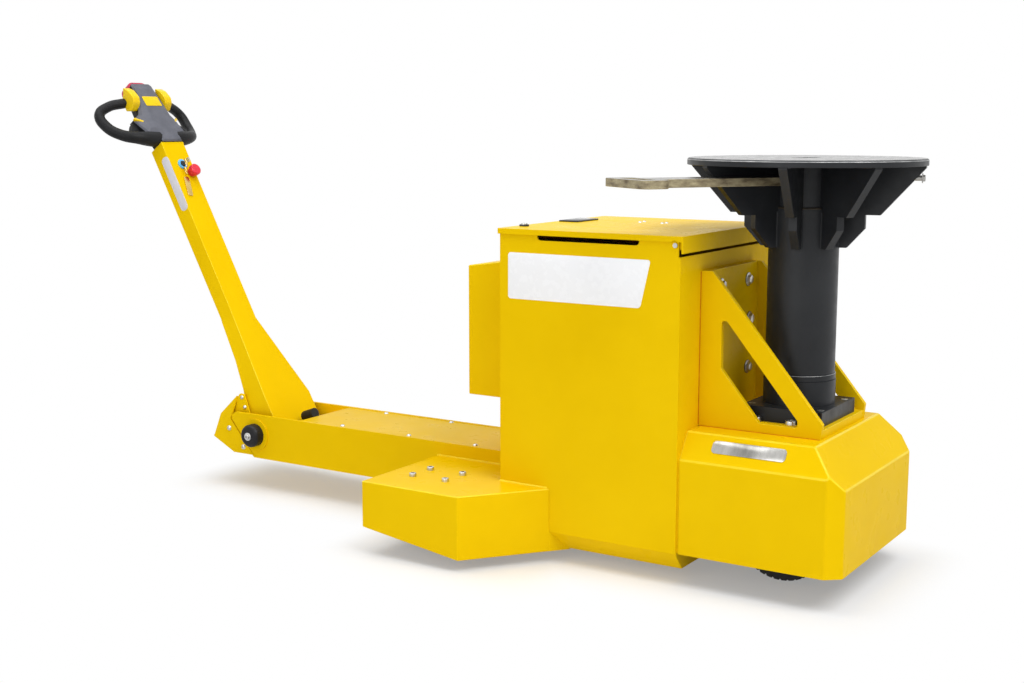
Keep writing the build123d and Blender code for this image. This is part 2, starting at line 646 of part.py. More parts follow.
def boom_guard():
    """Scoop behind the tiller's foot: a bent floor, side flanges and cheeks that lean inward."""
    floor = [SEAM_LOW, GUARD_BEND, GUARD_REAR]
    seam_slope = (SEAM_HIGH[0] - SEAM_LOW[0]) / (SEAM_HIGH[1] - SEAM_LOW[1])
    floor += [(x, z + GUARD_SHEET) for x, z in (GUARD_REAR, GUARD_BEND)]
    floor += [(SEAM_LOW[0] + seam_slope * GUARD_SHEET, SEAM_LOW[1] + GUARD_SHEET)]
    guard = across(floor, -BOOM_HALF, BOOM_HALF)
    flange = [SEAM_LOW, GUARD_BEND, GUARD_REAR, SEAM_HIGH]
    forward, inward, up = GUARD_LEAN
    for span in sides(BOOM_HALF - GUARD_SHEET, BOOM_HALF):
        guard += across(flange, *span)
    for y in (-1, 1):
        fold = [Vector(x, y * BOOM_HALF, z) for x, z in (GUARD_REAR, SEAM_HIGH)]
        lean = Vector(forward, -y * inward, up)
        cheek = Face(Wire.make_polygon([fold[0], fold[1], fold[1] + lean, fold[0] + lean]))
        inside = (fold[1] - fold[0]).cross(lean).normalized()
        inside *= -1 if inside.Y * y > 0 else 1
        guard += extrude(cheek, amount=GUARD_SHEET, dir=inside)
    return at_pivot(guard)


def pivot_shaft():
    end = BOOM_HALF + PIVOT_BOSS[1]
    return at_pivot(rod_y(*PIVOT, PIVOT_RADIUS, -end, end))


def pivot_knobs():
    """Rubber bumpers on the ends of the tiller's pivot shaft."""
    start = BOOM_HALF + PIVOT_BOSS[1]
    knob = rod_y(*PIVOT, KNOB_RADIUS, start, start + KNOB_LENGTH)
    knob = fillet(knob.edges().group_by(Axis.Y)[-1], KNOB_ROUND)
    return at_pivot(Compound([knob, mirrored(knob)]))


def outrigger():
    """Caster housing on the left: a top plate with rear, outer and slanting walls, open below."""
    back, front = -HOUSING_BACK, -HOUSING_FRONT
    plan = [(back, 0), (HOUSING_MEET, 0), (HOUSING_MEET, CABINET_HALF)]
    plan += [(front, HOUSING_OUT), (back, HOUSING_OUT)]
    body = upward(plan, HOUSING_LOW, HOUSING_TOP)
    body -= upward(inset(plan, HOUSING), 0, HOUSING_TOP - HOUSING)
    under = [(back, 0), (back, HOUSING_LOW_REAR), (front, HOUSING_LOW), (front, 0)]
    body -= across(under, 0, HOUSING_OUT)
    body -= block((back, HOUSING_MEET), (0, BOOM_HALF), (0, HOUSING_TOP))
    return at_rear(body - block((0, HOUSING_MEET), (0, CABINET_HALF), (0, HOUSING_TOP)))


def caster_plates():
    """Bolted top plates with the swivel races under them."""
    x, y = CASTER_AT
    length, width, thick = CASTER_PLATE
    race_radius, race = CASTER_RACE
    top = HOUSING_TOP - HOUSING
    plate = Pos(x, y, top - thick / 2) * Box(length, width, thick)
    plate = fillet(plate.edges().filter_by(Axis.Z), thick)
    plate += rod_z(x, y, race_radius, top - thick - race, top - thick)
    plate -= rod_z(x, y, CASTER_STEM + TURN_GAP, top - thick - race, top)
    return at_rear(Compound([plate, mirrored(plate)]))


def caster_fork():
    """Left fork: a crown on the swivel stem and two legs that trail to the axle."""
    x, y = CASTER_AT
    under = HOUSING_TOP - HOUSING
    race_radius, race = CASTER_RACE
    top = under - CASTER_PLATE[2] - race - FLAT_GAP
    low = top - FORK_CROWN
    fork = rod_z(x, y, race_radius, low, top) + rod_z(x, y, CASTER_STEM, top, under - FLAT_GAP)
    axle_x = x - CASTER_TRAIL
    leg_in = CASTER_WIDTH / 2 + FORK_GAP
    leg_out = leg_in + FORK_PLATE
    fork += block((x - race_radius, x + FORK_FRONT), (y - leg_out, y + leg_out), (low, top))
    leg = [(x - race_radius, top), (x + FORK_FRONT, top)]
    leg += [(axle_x + FORK_EYE, CASTER_RADIUS), (axle_x - FORK_EYE, CASTER_RADIUS)]
    for near, far in sides(leg_in, leg_out):
        fork += across(leg, y + near, y + far)
        fork += rod_y(axle_x, CASTER_RADIUS, FORK_EYE, y + near, y + far)
    return at_rear(fork + rod_y(axle_x, CASTER_RADIUS, CASTER_AXLE, y - leg_out, y + leg_out))


def caster_tyre():
    x, y = CASTER_AT
    half = CASTER_WIDTH / 2
    bead, crown = CASTER_RADIUS - TYRE_CROWN, CASTER_RADIUS
    profile = [(CASTER_HUB_RADIUS, -half), (bead, -half), (crown, -half + TYRE_CROWN)]
    profile += [(radius, -side) for radius, side in reversed(profile)]
    return at_rear(wheel_ring(x - CASTER_TRAIL, y, CASTER_RADIUS, profile))


def caster_hub():
    x, y = CASTER_AT
    half = CASTER_WIDTH / 2
    web, end = half / 3, half + FORK_GAP / 2
    bore, rim = CASTER_AXLE + TURN_GAP, CASTER_HUB_RADIUS - CASTER_RIM
    profile = [(bore, -end), (CASTER_BOSS, -end), (CASTER_BOSS, -web)]
    profile += [(rim, -web), (rim, -half), (CASTER_HUB_RADIUS, -half)]
    profile += [(radius, -side) for radius, side in reversed(profile)]
    return at_rear(wheel_ring(x - CASTER_TRAIL, y, CASTER_RADIUS, profile))


def tiller_form(shrink):
    """The tiller arm's outside, or its inside for a sheet's thickness."""
    lean = radians(HEAD_LEAN)
    top_x, top_z = ARM_TOP_FRONT
    top_rear = (top_x - ARM_TOP_DEPTH * cos(lean), top_z - ARM_TOP_DEPTH * sin(lean))
    side = [ARM_TOP_FRONT, ARM_KINK_FRONT, *FOOT_FRONT, *FOOT_REAR, ARM_KINK_REAR, top_rear]
    lowest, highest = FOOT_REAR[0][1], ARM_TOP_FRONT[1]
    front = [(FOOT_HALF, lowest), (FOOT_HALF, FLARE_BOTTOM), (ARM_HALF, FLARE_TOP), (ARM_HALF, highest)]
    front += [(-y, z) for y, z in reversed(front)]
    form = across(inset(side, shrink), -FOOT_HALF, FOOT_HALF)
    return form & along(inset(front, shrink), top_rear[0], FOOT_FRONT[1][0])


def tiller_arm():
    """Folded box arm with a flared foot and the pivot barrel through it."""
    arm = tiller_form(0) - tiller_form(ARM_SHEET)
    arm += rod_y(*PIVOT, BARREL_RADIUS, -FOOT_HALF, FOOT_HALF)
    return at_pivot(arm - rod_y(*PIVOT, PIVOT_RADIUS + TURN_GAP, -FOOT_HALF, FOOT_HALF))


def on_head(y, u, n):
    """A point of the tiller head in the machine's frame."""
    lean = radians(HEAD_LEAN)
    x = ARM_TOP_FRONT[0] - u * sin(lean) + n * cos(lean)
    return (x, y, ARM_TOP_FRONT[1] + u * cos(lean) + n * sin(lean))


def head_normal():
    lean = radians(HEAD_LEAN)
    return (cos(lean), 0, sin(lean))


def head_slab(outline, n_low, n_high):
    """A face-on outline of (y, u) points, run through the head's thickness."""
    face = Face(Wire.make_polygon([on_head(y, u, n_low) for y, u in outline]))
    return extrude(face, amount=n_high - n_low, dir=head_normal())


def both_sides(half):
    return list(half) + [(-y, u) for y, u in reversed(half)]


def head_form():
    """A face shell with chamfered edges over a slimmer core."""
    face = head_slab(both_sides(HEAD_OUTLINE), HEAD_SEAM, HEAD_FACE)
    front = face.faces().sort_by(Axis((0, 0, 0), head_normal()))[-1]
    face = chamfer(front.edges(), HEAD_EDGE)
    return face + head_slab(both_sides(CORE_OUTLINE), HEAD_BACK, HEAD_SEAM)


def tiller_head():
    return at_pivot(head_form())


def grip_tube():
    """The left hand loop, run on into the head."""
    path = Spline(*[on_head(*point) for point in GRIP_LINE])
    start = Plane(origin=path @ 0, z_dir=path % 0)
    tube = sweep(start * Circle(GRIP_RADIUS), path)
    thin, thick = (Vector(*on_head(*point)) for point in GRIP_LINE[-2:])
    root = Plane(origin=thin, z_dir=thick - thin)
    length = (thick - thin).length
    return tube + root * Pos(0, 0, length / 2) * Cone(GRIP_RADIUS, GRIP_ROOT, length)


def tiller_grips():
    """Closed hand loops on both sides of the head."""
    grip = grip_tube() - head_form()
    return at_pivot(Compound([grip, mirrored(grip)]))


def thumb_paddles():
    """Speed paddles round the upper ends of the grips."""
    start, end = PADDLE_ENDS
    face = Face(Wire.make_polygon([on_head(start, u, n) for u, n in PADDLE_OUTLINE]))
    paddle = extrude(face, amount=end - start, dir=(0, 1, 0))
    paddle = fillet(paddle.edges(), PADDLE_ROUND)
    paddle -= grip_tube()
    return at_pivot(Compound([paddle, mirrored(paddle)]))


def bump_button():
    """Reversing button across the head's end."""
    foot = HEAD_OUTLINE[-1][1]
    button = head_slab(both_sides([(BUTTON_HALF, foot), (BUTTON_HALF, BUTTON_END)]), *BUTTON_DEPTH)
    lean = radians(HEAD_LEAN)
    outer = button.faces().sort_by(Axis((0, 0, 0), (-sin(lean), 0, cos(lean))))[-1]
    return at_pivot(fillet(outer.edges(), BUTTON_ROUND))


def arm_point(up, y):
    """A place on the arm's front face, by its distance up from the kink."""
    (ax, az), (bx, bz) = ARM_KINK_FRONT, ARM_TOP_FRONT
    length = hypot(bx - ax, bz - az)
    lean = degrees(atan2(ax - bx, bz - az))
    return Pos(ax + (bx - ax) * up / length, y, az + (bz - az) * up / length) * Rot(0, 90 - lean, 0)


def emergency_stop():
    """Mushroom button on a short stem."""
    stem_radius, stem = ESTOP_STEM
    cap_radius, cap = ESTOP_CAP
    stop = rod_z(0, 0, cap_radius, stem, stem + cap)
    stop = fillet(stop.edges().group_by(Axis.Z)[-1], ESTOP_ROUND) + rod_z(0, 0, stem_radius, 0, stem)
    return at_pivot(arm_point(*ESTOP_AT) * stop)


def key_switch():
    """Switch barrel in its round collar."""
    ring_radius, ring = KEY_RING
    barrel_radius, barrel = KEY_BARREL
    switch = rod_z(0, 0, ring_radius, 0, ring) + rod_z(0, 0, barrel_radius, ring, barrel)
    return at_pivot(arm_point(*KEY_AT) * switch)


# Every node of the machine, by name
PIECES = {
    "belly_pan": belly_pan(),
    "cabinet_walls": cabinet_walls(),
    "battery_pack": battery_pack(),
    "lid_pins": lid_pins(),
    "rear_box": rear_box(),
    "nose_cover": nose_cover(),
    "drive_frame": drive_frame(),
    "transaxle": transaxle(),
    "mast_bracket": mast_bracket(),
    "mast_base": mast_base(),
    "boom_beam": boom_beam(),
    "boom_cover": boom_cover(),
    "boom_guard": boom_guard(),
    "pivot_shaft": pivot_shaft(),
    "pivot_knobs": pivot_knobs(),
    "caster_plates": caster_plates(),
    "lid_panel": lid_panel(),
    "lid_display": lid_display(),
    "lid_lock": lid_lock(),
    "mast_post": mast_post(),
    "mast_wiper": mast_wiper(),
    "mast_sleeve": mast_sleeve(),
    "head_ribs": head_ribs(),
    "kingpin_housing": kingpin_housing(),
    "coupling_plate": coupling_plate(),
    "lock_bar": lock_bar(),
    "tiller_arm": tiller_arm(),
    "tiller_stop": tiller_stop(),
    "tiller_head": tiller_head(),
    "tiller_grips": tiller_grips(),
    "thumb_paddles": thumb_paddles(),
    "bump_button": bump_button(),
    "emergency_stop": emergency_stop(),
    "key_switch": key_switch(),
}
for name, side in (("left", 1), ("right", -1)):
    PIECES[f"drive_tyre_{name}"] = drive_tyre(side)
    PIECES[f"drive_hub_{name}"] = drive_hub(side)
for stem, shape in (
    ("outrigger", outrigger()),
    ("caster_fork", caster_fork()),
    ("caster_tyre", caster_tyre()),
    ("caster_hub", caster_hub()),
):
    PIECES[f"{stem}_left"] = shape
    PIECES[f"{stem}_right"] = mirrored(shape)

os.makedirs("parts", exist_ok=True)
for node, shape in PIECES.items():
    export_step(Pos(-MIDDLE_X, 0, 0) * shape, f"parts/{node}.step")
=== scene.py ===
# %% [markdown]
# # A trailer mover, dressed over its solids
# The machine is a walk-behind electric tug. Its solids come from the CAD model and never move here.
# Blender adds what a maker adds last: rounded folds, paint, welds, bolts, plates and the small controls.

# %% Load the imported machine
import json
from math import cos, radians, sin

import bpy
from mathutils import Matrix, Vector


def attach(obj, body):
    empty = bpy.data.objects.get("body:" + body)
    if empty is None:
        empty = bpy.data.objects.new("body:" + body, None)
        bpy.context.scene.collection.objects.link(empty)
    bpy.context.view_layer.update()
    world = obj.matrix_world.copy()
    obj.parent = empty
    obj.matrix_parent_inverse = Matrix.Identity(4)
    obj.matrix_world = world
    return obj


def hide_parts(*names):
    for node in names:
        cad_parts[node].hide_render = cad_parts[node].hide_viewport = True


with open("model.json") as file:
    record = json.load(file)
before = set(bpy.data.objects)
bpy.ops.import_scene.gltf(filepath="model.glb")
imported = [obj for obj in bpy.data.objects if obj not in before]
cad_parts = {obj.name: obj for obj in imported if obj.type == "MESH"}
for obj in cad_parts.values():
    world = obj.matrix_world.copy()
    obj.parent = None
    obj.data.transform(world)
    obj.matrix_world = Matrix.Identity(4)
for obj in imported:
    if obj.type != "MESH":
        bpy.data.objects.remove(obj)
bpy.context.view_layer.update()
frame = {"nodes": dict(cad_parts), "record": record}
nodes = frame["nodes"]

# %% [markdown]
# The drawing's millimetres start at the cabinet's front face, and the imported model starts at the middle
# of the machine's length. One small function turns a place on the drawing into a place in the scene.

# %% Places on the drawing
MIDDLE = 820.0


def at(x, y, z):
    """A place on the drawing, in the scene's metres."""
    return Vector(((x + MIDDLE) / 1000, y / 1000, z / 1000))


print("cabinet front edge at", tuple(at(0, -276, 853)))

# %% [markdown]
# The portrait is taken from the machine's right front with a normal lens at chest height.
# A camera looks down its own -Z, so 90 degrees about X makes it level, and the rest aims it.

# %% Camera
CAMERA_PLACE = (1437.3, -3266.7, 1116.9)
LOOK_DOWN = 8.797
LOOK_ROUND = 32.536
LENS = 49.31
FILM_WIDTH = 36
SIGHT = 60

bpy.ops.object.select_all(action="DESELECT")
aim = (radians(90 - LOOK_DOWN), 0, radians(LOOK_ROUND))
bpy.ops.object.camera_add(location=at(*CAMERA_PLACE), rotation=aim)
camera = bpy.context.object
camera.data.lens = LENS
camera.data.sensor_width = FILM_WIDTH
camera.data.clip_end = SIGHT
bpy.context.scene.camera = camera
bpy.context.scene.view_settings.view_transform = "Standard"
print("camera at", tuple(camera.location))

# %% [markdown]
# A material, like the world, is a sheet of nodes joined by links. By hand it is drawn in the shader editor.
# Three helpers keep the cells short: one empties a sheet, one adds a node with its values, and one tells a
# look at a surface from the soft light that bounces off it.

# %% Node helpers
def sheet_of(material):
    """A material's empty node sheet, with its output."""
    material.use_nodes = True
    tree = material.node_tree
    tree.nodes.clear()
    return tree, tree.nodes.new("ShaderNodeOutputMaterial")


def node(tree, kind, **values):
    """One node: sockets are set by name, settings by attribute."""
    made = tree.nodes.new("ShaderNode" + kind)
    for name, value in values.items():
        if hasattr(made, name):
            setattr(made, name, value)
        else:
            made.inputs[name.replace("_", " ")].default_value = value
    return made


def seen_directly(tree):
    """1 where the camera, a reflection or a refraction looks, 0 for light that bounces softly."""
    path = node(tree, "LightPath")
    first = node(tree, "Math", operation="MAXIMUM")
    both = node(tree, "Math", operation="MAXIMUM")
    tree.links.new(path.outputs["Is Camera Ray"], first.inputs[0])
    tree.links.new(path.outputs["Is Glossy Ray"], first.inputs[1])
    tree.links.new(first.outputs[0], both.inputs[0])
    tree.links.new(path.outputs["Is Transmission Ray"], both.inputs[1])
    return both.outputs[0]


print("node helpers ready")

# %% [markdown]
# A white studio could have a curved wall behind the machine. Here the world itself is white where the
# camera, or a shiny surface, looks at it, and gives only half that light to everything else. So the
# background is white and the paint isn't washed out.

# %% World
WHITE = (1, 1, 1, 1)
SOFT_LIGHT = 0.5

world = bpy.data.worlds.new("white_studio")
bpy.context.scene.world = world
world.use_nodes = True
sky = world.node_tree
sky.nodes.clear()
soft = node(sky, "Background", Color=WHITE, Strength=SOFT_LIGHT)
white = node(sky, "Background", Color=WHITE, Strength=1.0)
choose = node(sky, "MixShader")
sky.links.new(seen_directly(sky), choose.inputs[0])
sky.links.new(soft.outputs[0], choose.inputs[1])
sky.links.new(white.outputs[0], choose.inputs[2])
sky.links.new(choose.outputs[0], node(sky, "OutputWorld").inputs[0])
print("soft light", SOFT_LIGHT)

# %% [markdown]
# The floor is one large plane. How far a spot on it lies from the machine is measured to three boxes, the
# machine's footprints: cabinet with nose, caster housings, and boom. A spot is folded into one quarter of
# the box, and what sticks out past the box's corner has the wanted length. The nearest box counts.

# %% Floor and footprints
FLOOR_SIZE = 40
footprints = (
    ((-507, -276), (409, 276)),
    ((-812, -472), (-357, 472)),
    ((-1677, -129), (-507, 129)),
)

bpy.ops.object.select_all(action="DESELECT")
bpy.ops.mesh.primitive_plane_add(size=FLOOR_SIZE, location=(0, 0, 0))
floor = bpy.context.object
floor.name = "studio_floor"
floor_paint = bpy.data.materials.new("studio_white")
tree, out = sheet_of(floor_paint)
spot = node(tree, "TexCoord")
nearest = None
for low, high in footprints:
    low, high = at(*low, 0), at(*high, 0)
    centred = node(tree, "Mapping", Location=-(low + high) / 2)
    quarter = node(tree, "VectorMath", operation="ABSOLUTE")
    past = node(tree, "VectorMath", operation="SUBTRACT")
    past.inputs[1].default_value = (high - low) / 2
    outside = node(tree, "VectorMath", operation="MAXIMUM")
    far = node(tree, "VectorMath", operation="LENGTH")
    tree.links.new(spot.outputs["Object"], centred.inputs[0])
    for before, after in ((centred, quarter), (quarter, past), (past, outside), (outside, far)):
        tree.links.new(before.outputs[0], after.inputs[0])
    if nearest is None:
        nearest = far.outputs["Value"]
    else:
        least = node(tree, "Math", operation="MINIMUM")
        tree.links.new(nearest, least.inputs[0])
        tree.links.new(far.outputs["Value"], least.inputs[1])
        nearest = least.outputs[0]
print("floor", tuple(floor.dimensions), "with", len(footprints), "footprints")

# %% [markdown]
# Near the machine the floor is an ordinary pale surface, so it keeps the soft shadow. A hand's breadth
# away it has turned into plain white. That white only shows where it is looked at, and it lights nothing.

# %% Floor that fades to white
FADE_FROM = -0.02
FADE_TO = 0.17
LEAST_WHITE = 0.26
FLOOR_GREY = (0.82, 0.82, 0.82, 1)

fade = node(tree, "MapRange", From_Min=FADE_FROM, From_Max=FADE_TO, To_Min=LEAST_WHITE,
            interpolation_type="SMOOTHSTEP")
tree.links.new(nearest, fade.inputs["Value"])
only_seen = node(tree, "Math", operation="MULTIPLY")
tree.links.new(fade.outputs[0], only_seen.inputs[0])
tree.links.new(seen_directly(tree), only_seen.inputs[1])
matt = node(tree, "BsdfDiffuse", Color=FLOOR_GREY)
glow = node(tree, "Emission", Color=WHITE, Strength=1.0)
mixed = node(tree, "MixShader")
tree.links.new(only_seen.outputs[0], mixed.inputs[0])
tree.links.new(matt.outputs[0], mixed.inputs[1])
tree.links.new(glow.outputs[0], mixed.inputs[2])
tree.links.new(mixed.outputs[0], out.inputs[0])
floor.data.materials.append(floor_paint)
print(floor.name, "fades from", FADE_FROM, "to", FADE_TO)

# %% [markdown]
# Three large soft lamps do the work of a studio: one high in front, which makes the slanted faces the
# brightest, one over the boom for the tops, and one behind the camera for the long side.

# %% Lamps
LAMP_SIZE = 3.0

for name, spot_at, toward, power in (
    ("high_front", (3.2, -0.8, 4.2), (0.3, 0.0, 0.4), 150),
    ("over_boom", (-1.1, -0.5, 3.8), (-0.8, 0.0, 0.2), 62),
    ("long_side", (0.6, -5.5, 2.2), (0.0, 0.0, 0.5), 58),
):
    bpy.ops.object.select_all(action="DESELECT")
    bpy.ops.object.light_add(type="AREA", location=spot_at)
    lamp = bpy.context.object
    lamp.name = name + "_lamp"
    lamp.data.shape = "SQUARE"
    lamp.data.size = LAMP_SIZE
    lamp.data.energy = power
    lamp.rotation_euler = (Vector(toward) - Vector(spot_at)).to_track_quat("-Z", "Y").to_euler()
    print(lamp.name, power, "W")

# %% [markdown]
# Every finish reads Object coordinates, because all pieces lie in one frame, so a pattern keeps its scale
# from piece to piece. The recipe is the same for each: a slow noise that shifts the colour, a finer one
# that varies the gloss, and the finest as a bump for the grain of the surface.

# %% Finish recipe
NOISE_LOW = 0.3
NOISE_HIGH = 0.7
GRAIN_DEPTH = 0.0006


def finish(name, dark, light, blotch, gloss, grain, bump, metal=0.0, stretch=(1, 1, 1), shine=0.5):
    """A finish from two colours, a blotch scale, a roughness range, a grain scale and its bump."""
    material = bpy.data.materials.new(name)
    tree, out = sheet_of(material)
    shader = node(tree, "BsdfPrincipled", Metallic=metal)
    shader.inputs["Specular IOR Level"].default_value = shine
    where = node(tree, "TexCoord")
    scaled = node(tree, "Mapping", Scale=stretch)
    tree.links.new(where.outputs["Object"], scaled.inputs[0])
    slow = node(tree, "TexNoise", Scale=blotch, Detail=4.0, Roughness=0.6)
    colours = node(tree, "ValToRGB")
    low, high = colours.color_ramp.elements
    low.position, high.position = NOISE_LOW, NOISE_HIGH
    low.color, high.color = (*dark, 1), (*light, 1)
    tree.links.new(scaled.outputs[0], slow.inputs["Vector"])
    tree.links.new(slow.outputs["Fac"], colours.inputs[0])
    tree.links.new(colours.outputs[0], shader.inputs["Base Color"])
    middle = node(tree, "TexNoise", Scale=blotch * 7, Detail=3.0)
    rough = node(tree, "MapRange", From_Min=NOISE_LOW, From_Max=NOISE_HIGH,
                 To_Min=gloss[0], To_Max=gloss[1])
    tree.links.new(scaled.outputs[0], middle.inputs["Vector"])
    tree.links.new(middle.outputs["Fac"], rough.inputs["Value"])
    tree.links.new(rough.outputs[0], shader.inputs["Roughness"])
    fine = node(tree, "TexNoise", Scale=grain, Detail=2.0)
    relief = node(tree, "Bump", Strength=bump, Distance=GRAIN_DEPTH)
    tree.links.new(scaled.outputs[0], fine.inputs["Vector"])
    tree.links.new(fine.outputs["Fac"], relief.inputs["Height"])
    tree.links.new(relief.outputs[0], shader.inputs["Normal"])
    tree.links.new(shader.outputs[0], out.inputs[0])
    return material


print("finish recipe ready")

# %% [markdown]
# The sheet metal is powder coated: paint dust baked to a smooth skin. The yellow has hardly any shine of
# its own, so its colour holds on every face. Frame and castings have only a primer. Folds that face up
# get a paler, glossier yellow: a painted highlight along the edge.

# %% Paints
finishes = {
    "yellow_paint": finish(
        "yellow_powder_coat",
        dark=(0.77, 0.495, 0.001), light=(0.83, 0.545, 0.002), gloss=(0.25, 0.34),
        blotch=2.2, grain=300, bump=0.05, shine=0.015),
    "charcoal_paint": finish(
        "charcoal_powder_coat",
        dark=(0.011, 0.012, 0.014), light=(0.02, 0.0215, 0.024), gloss=(0.32, 0.46),
        blotch=5.0, grain=520, bump=0.14, shine=0.25),
    "frame_steel": finish(
        "primed_frame",
        dark=(0.03, 0.031, 0.033), light=(0.05, 0.051, 0.053), gloss=(0.45, 0.62),
        blotch=8, grain=340, bump=0.25),
    "drive_castings": finish(
        "cast_grey",
        dark=(0.06, 0.062, 0.066), light=(0.095, 0.097, 0.1), gloss=(0.5, 0.68),
        blotch=12, grain=260, bump=0.45),
}
# A paler, glossier yellow: painted highlight for folds that face up and for two welds.
highlight_yellow = finish(
    "yellow_edge_line",
    dark=(0.84, 0.6, 0.008), light=(0.9, 0.68, 0.03), gloss=(0.14, 0.22),
    blotch=12, grain=300, bump=0.05, shine=0.12)
print(list(finishes), highlight_yellow.name)

# %% [markdown]
# Bare metal is a mirror with a blurred image, so it gets a metal share of one and a roughness. Steel that
# was drawn or ground has its noise stretched along the marks. Cut, rubbed and welded steel is duller, with
# its oxide mixed in, so its metal share is lower.

# %% Metals
finishes["bare_steel"] = finish(
    "mill_scale_steel",
    dark=(0.24, 0.235, 0.22), light=(0.46, 0.45, 0.43), gloss=(0.26, 0.46),
    blotch=14, grain=300, bump=0.2, metal=1.0, stretch=(1, 1, 3))
finishes["chromed_steel"] = finish(
    "hard_chrome",
    dark=(0.52, 0.53, 0.55), light=(0.6, 0.61, 0.63), gloss=(0.1, 0.2),
    blotch=6, grain=240, bump=0.03, metal=1.0, stretch=(1, 1, 6))
finishes["zinc_steel"] = finish(
    "zinc_plate",
    dark=(0.48, 0.48, 0.47), light=(0.66, 0.66, 0.64), gloss=(0.25, 0.42),
    blotch=40, grain=500, bump=0.1, metal=1.0)
finishes["wheel_metal"] = finish(
    "wheel_casting",
    dark=(0.3, 0.3, 0.31), light=(0.42, 0.42, 0.43), gloss=(0.4, 0.55),
    blotch=20, grain=300, bump=0.3, metal=0.8)
cut_edge = finish(
    "flame_cut_edge",
    dark=(0.12, 0.088, 0.048), light=(0.44, 0.38, 0.23), gloss=(0.42, 0.66),
    blotch=26, grain=420, bump=0.5, metal=0.35, stretch=(1, 1, 2.5))
# Rubbed steel that also serves as a painted highlight: bright lines on rounded edges that face up.
rubbed_highlight_edge = finish(
    "rubbed_bright_edge",
    dark=(0.16, 0.165, 0.17), light=(0.46, 0.46, 0.46), gloss=(0.3, 0.5),
    blotch=24, grain=420, bump=0.2, metal=0.6)
weld_steel = finish(
    "tempered_weld",
    dark=(0.03, 0.024, 0.018), light=(0.105, 0.08, 0.05), gloss=(0.34, 0.56),
    blotch=34, grain=500, bump=0.3, metal=0.4)
rubbed_top = finish(
    "rubbed_plate_top",
    dark=(0.016, 0.016, 0.017), light=(0.034, 0.032, 0.031), gloss=(0.1, 0.24),
    blotch=9, grain=420, bump=0.1, shine=0.5)
print(len(finishes), "finishes,", cut_edge.name, rubbed_highlight_edge.name, weld_steel.name, rubbed_top.name)

# %% [markdown]
# Rubber and moulded plastic have one colour all through and a fine grain from the mould, and are no
# metals. A picture of such a surface could be laid on them, but noise has no seams and fits every piece.
# Rubber that rolls is rougher than rubber that is held.

# %% Plastics and rubbers
finishes["black_rubber"] = finish(
    "black_rubber",
    dark=(0.006, 0.006, 0.007), light=(0.012, 0.012, 0.013), gloss=(0.34, 0.5),
    blotch=18, grain=620, bump=0.2, shine=0.25)
finishes["tyre_rubber"] = finish(
    "tyre_rubber",
    dark=(0.014, 0.014, 0.014), light=(0.034, 0.033, 0.031), gloss=(0.68, 0.85),
    blotch=9, grain=380, bump=0.45)
finishes["grey_plastic"] = finish(
    "dark_moulded_plastic",
    dark=(0.009, 0.0093, 0.01), light=(0.015, 0.0155, 0.017), gloss=(0.36, 0.52),
    blotch=16, grain=900, bump=0.25, shine=0.15)
finishes["yellow_plastic"] = finish(
    "yellow_moulded_plastic",
    dark=(0.78, 0.52, 0.002), light=(0.84, 0.58, 0.004), gloss=(0.3, 0.42),
    blotch=14, grain=700, bump=0.1, shine=0.25)
finishes["red_plastic"] = finish(
    "red_moulded_plastic",
    dark=(0.62, 0.012, 0.034), light=(0.74, 0.02, 0.045), gloss=(0.26, 0.38),
    blotch=20, grain=700, bump=0.08)
finishes["black_plastic"] = finish(
    "black_moulded_plastic",
    dark=(0.01, 0.01, 0.011), light=(0.018, 0.018, 0.02), gloss=(0.28, 0.42),
    blotch=20, grain=800, bump=0.15)
finishes["battery_case"] = finish(
    "battery_case",
    dark=(0.02, 0.02, 0.022), light=(0.032, 0.032, 0.034), gloss=(0.45, 0.6),
    blotch=12, grain=500, bump=0.2)
grey_face = finish(
    "grey_grained_face",
    dark=(0.095, 0.099, 0.12), light=(0.128, 0.133, 0.16), gloss=(0.48, 0.62),
    blotch=22, grain=750, bump=0.45, shine=0.25)
crimson = finish(
    "crimson_moulded_plastic",
    dark=(0.4, 0.006, 0.04), light=(0.5, 0.01, 0.055), gloss=(0.26, 0.38),
    blotch=20, grain=700, bump=0.08, shine=0.3)
print(len(finishes), "finishes,", grey_face.name, crimson.name)

# %% [markdown]
# The small fittings need a few finishes more: blank plates, glass, brass, plated bolts and a dark orange
# that is painted shade along the bracket's seams. They belong to no solid, so each has a name of its own
# and no place in the table.

# %% Finishes of the small fittings
plate_white = finish(
    "white_blank_plate",
    dark=(0.88, 0.89, 0.91), light=(0.91, 0.92, 0.94), gloss=(0.2, 0.32),
    blotch=8, grain=500, bump=0.04, shine=0.3)
plate_silver = finish(
    "silver_blank_strip",
    dark=(0.58, 0.57, 0.6), light=(0.66, 0.65, 0.68), gloss=(0.26, 0.4),
    blotch=16, grain=600, bump=0.06, shine=0.4)
display_glass = finish(
    "smoked_glass",
    dark=(0.01, 0.012, 0.014), light=(0.018, 0.02, 0.024), gloss=(0.05, 0.1),
    blotch=12, grain=300, bump=0.01)
key_blue = finish(
    "blue_anodised_collar",
    dark=(0.09, 0.42, 0.86), light=(0.16, 0.54, 0.98), gloss=(0.28, 0.42),
    blotch=30, grain=500, bump=0.08, metal=0.2)
brass = finish(
    "brass_wire",
    dark=(0.62, 0.42, 0.14), light=(0.78, 0.58, 0.22), gloss=(0.2, 0.36),
    blotch=40, grain=500, bump=0.05, metal=1.0)
badge_chrome = finish(
    "polished_badge",
    dark=(0.1, 0.095, 0.08), light=(0.66, 0.65, 0.62), gloss=(0.16, 0.26),
    blotch=9, grain=300, bump=0.04, metal=1.0, stretch=(1, 0.3, 0.3))
black_zinc = finish(
    "black_zinc",
    dark=(0.07, 0.07, 0.065), light=(0.2, 0.2, 0.185), gloss=(0.28, 0.42),
    blotch=40, grain=500, bump=0.1, metal=0.85)
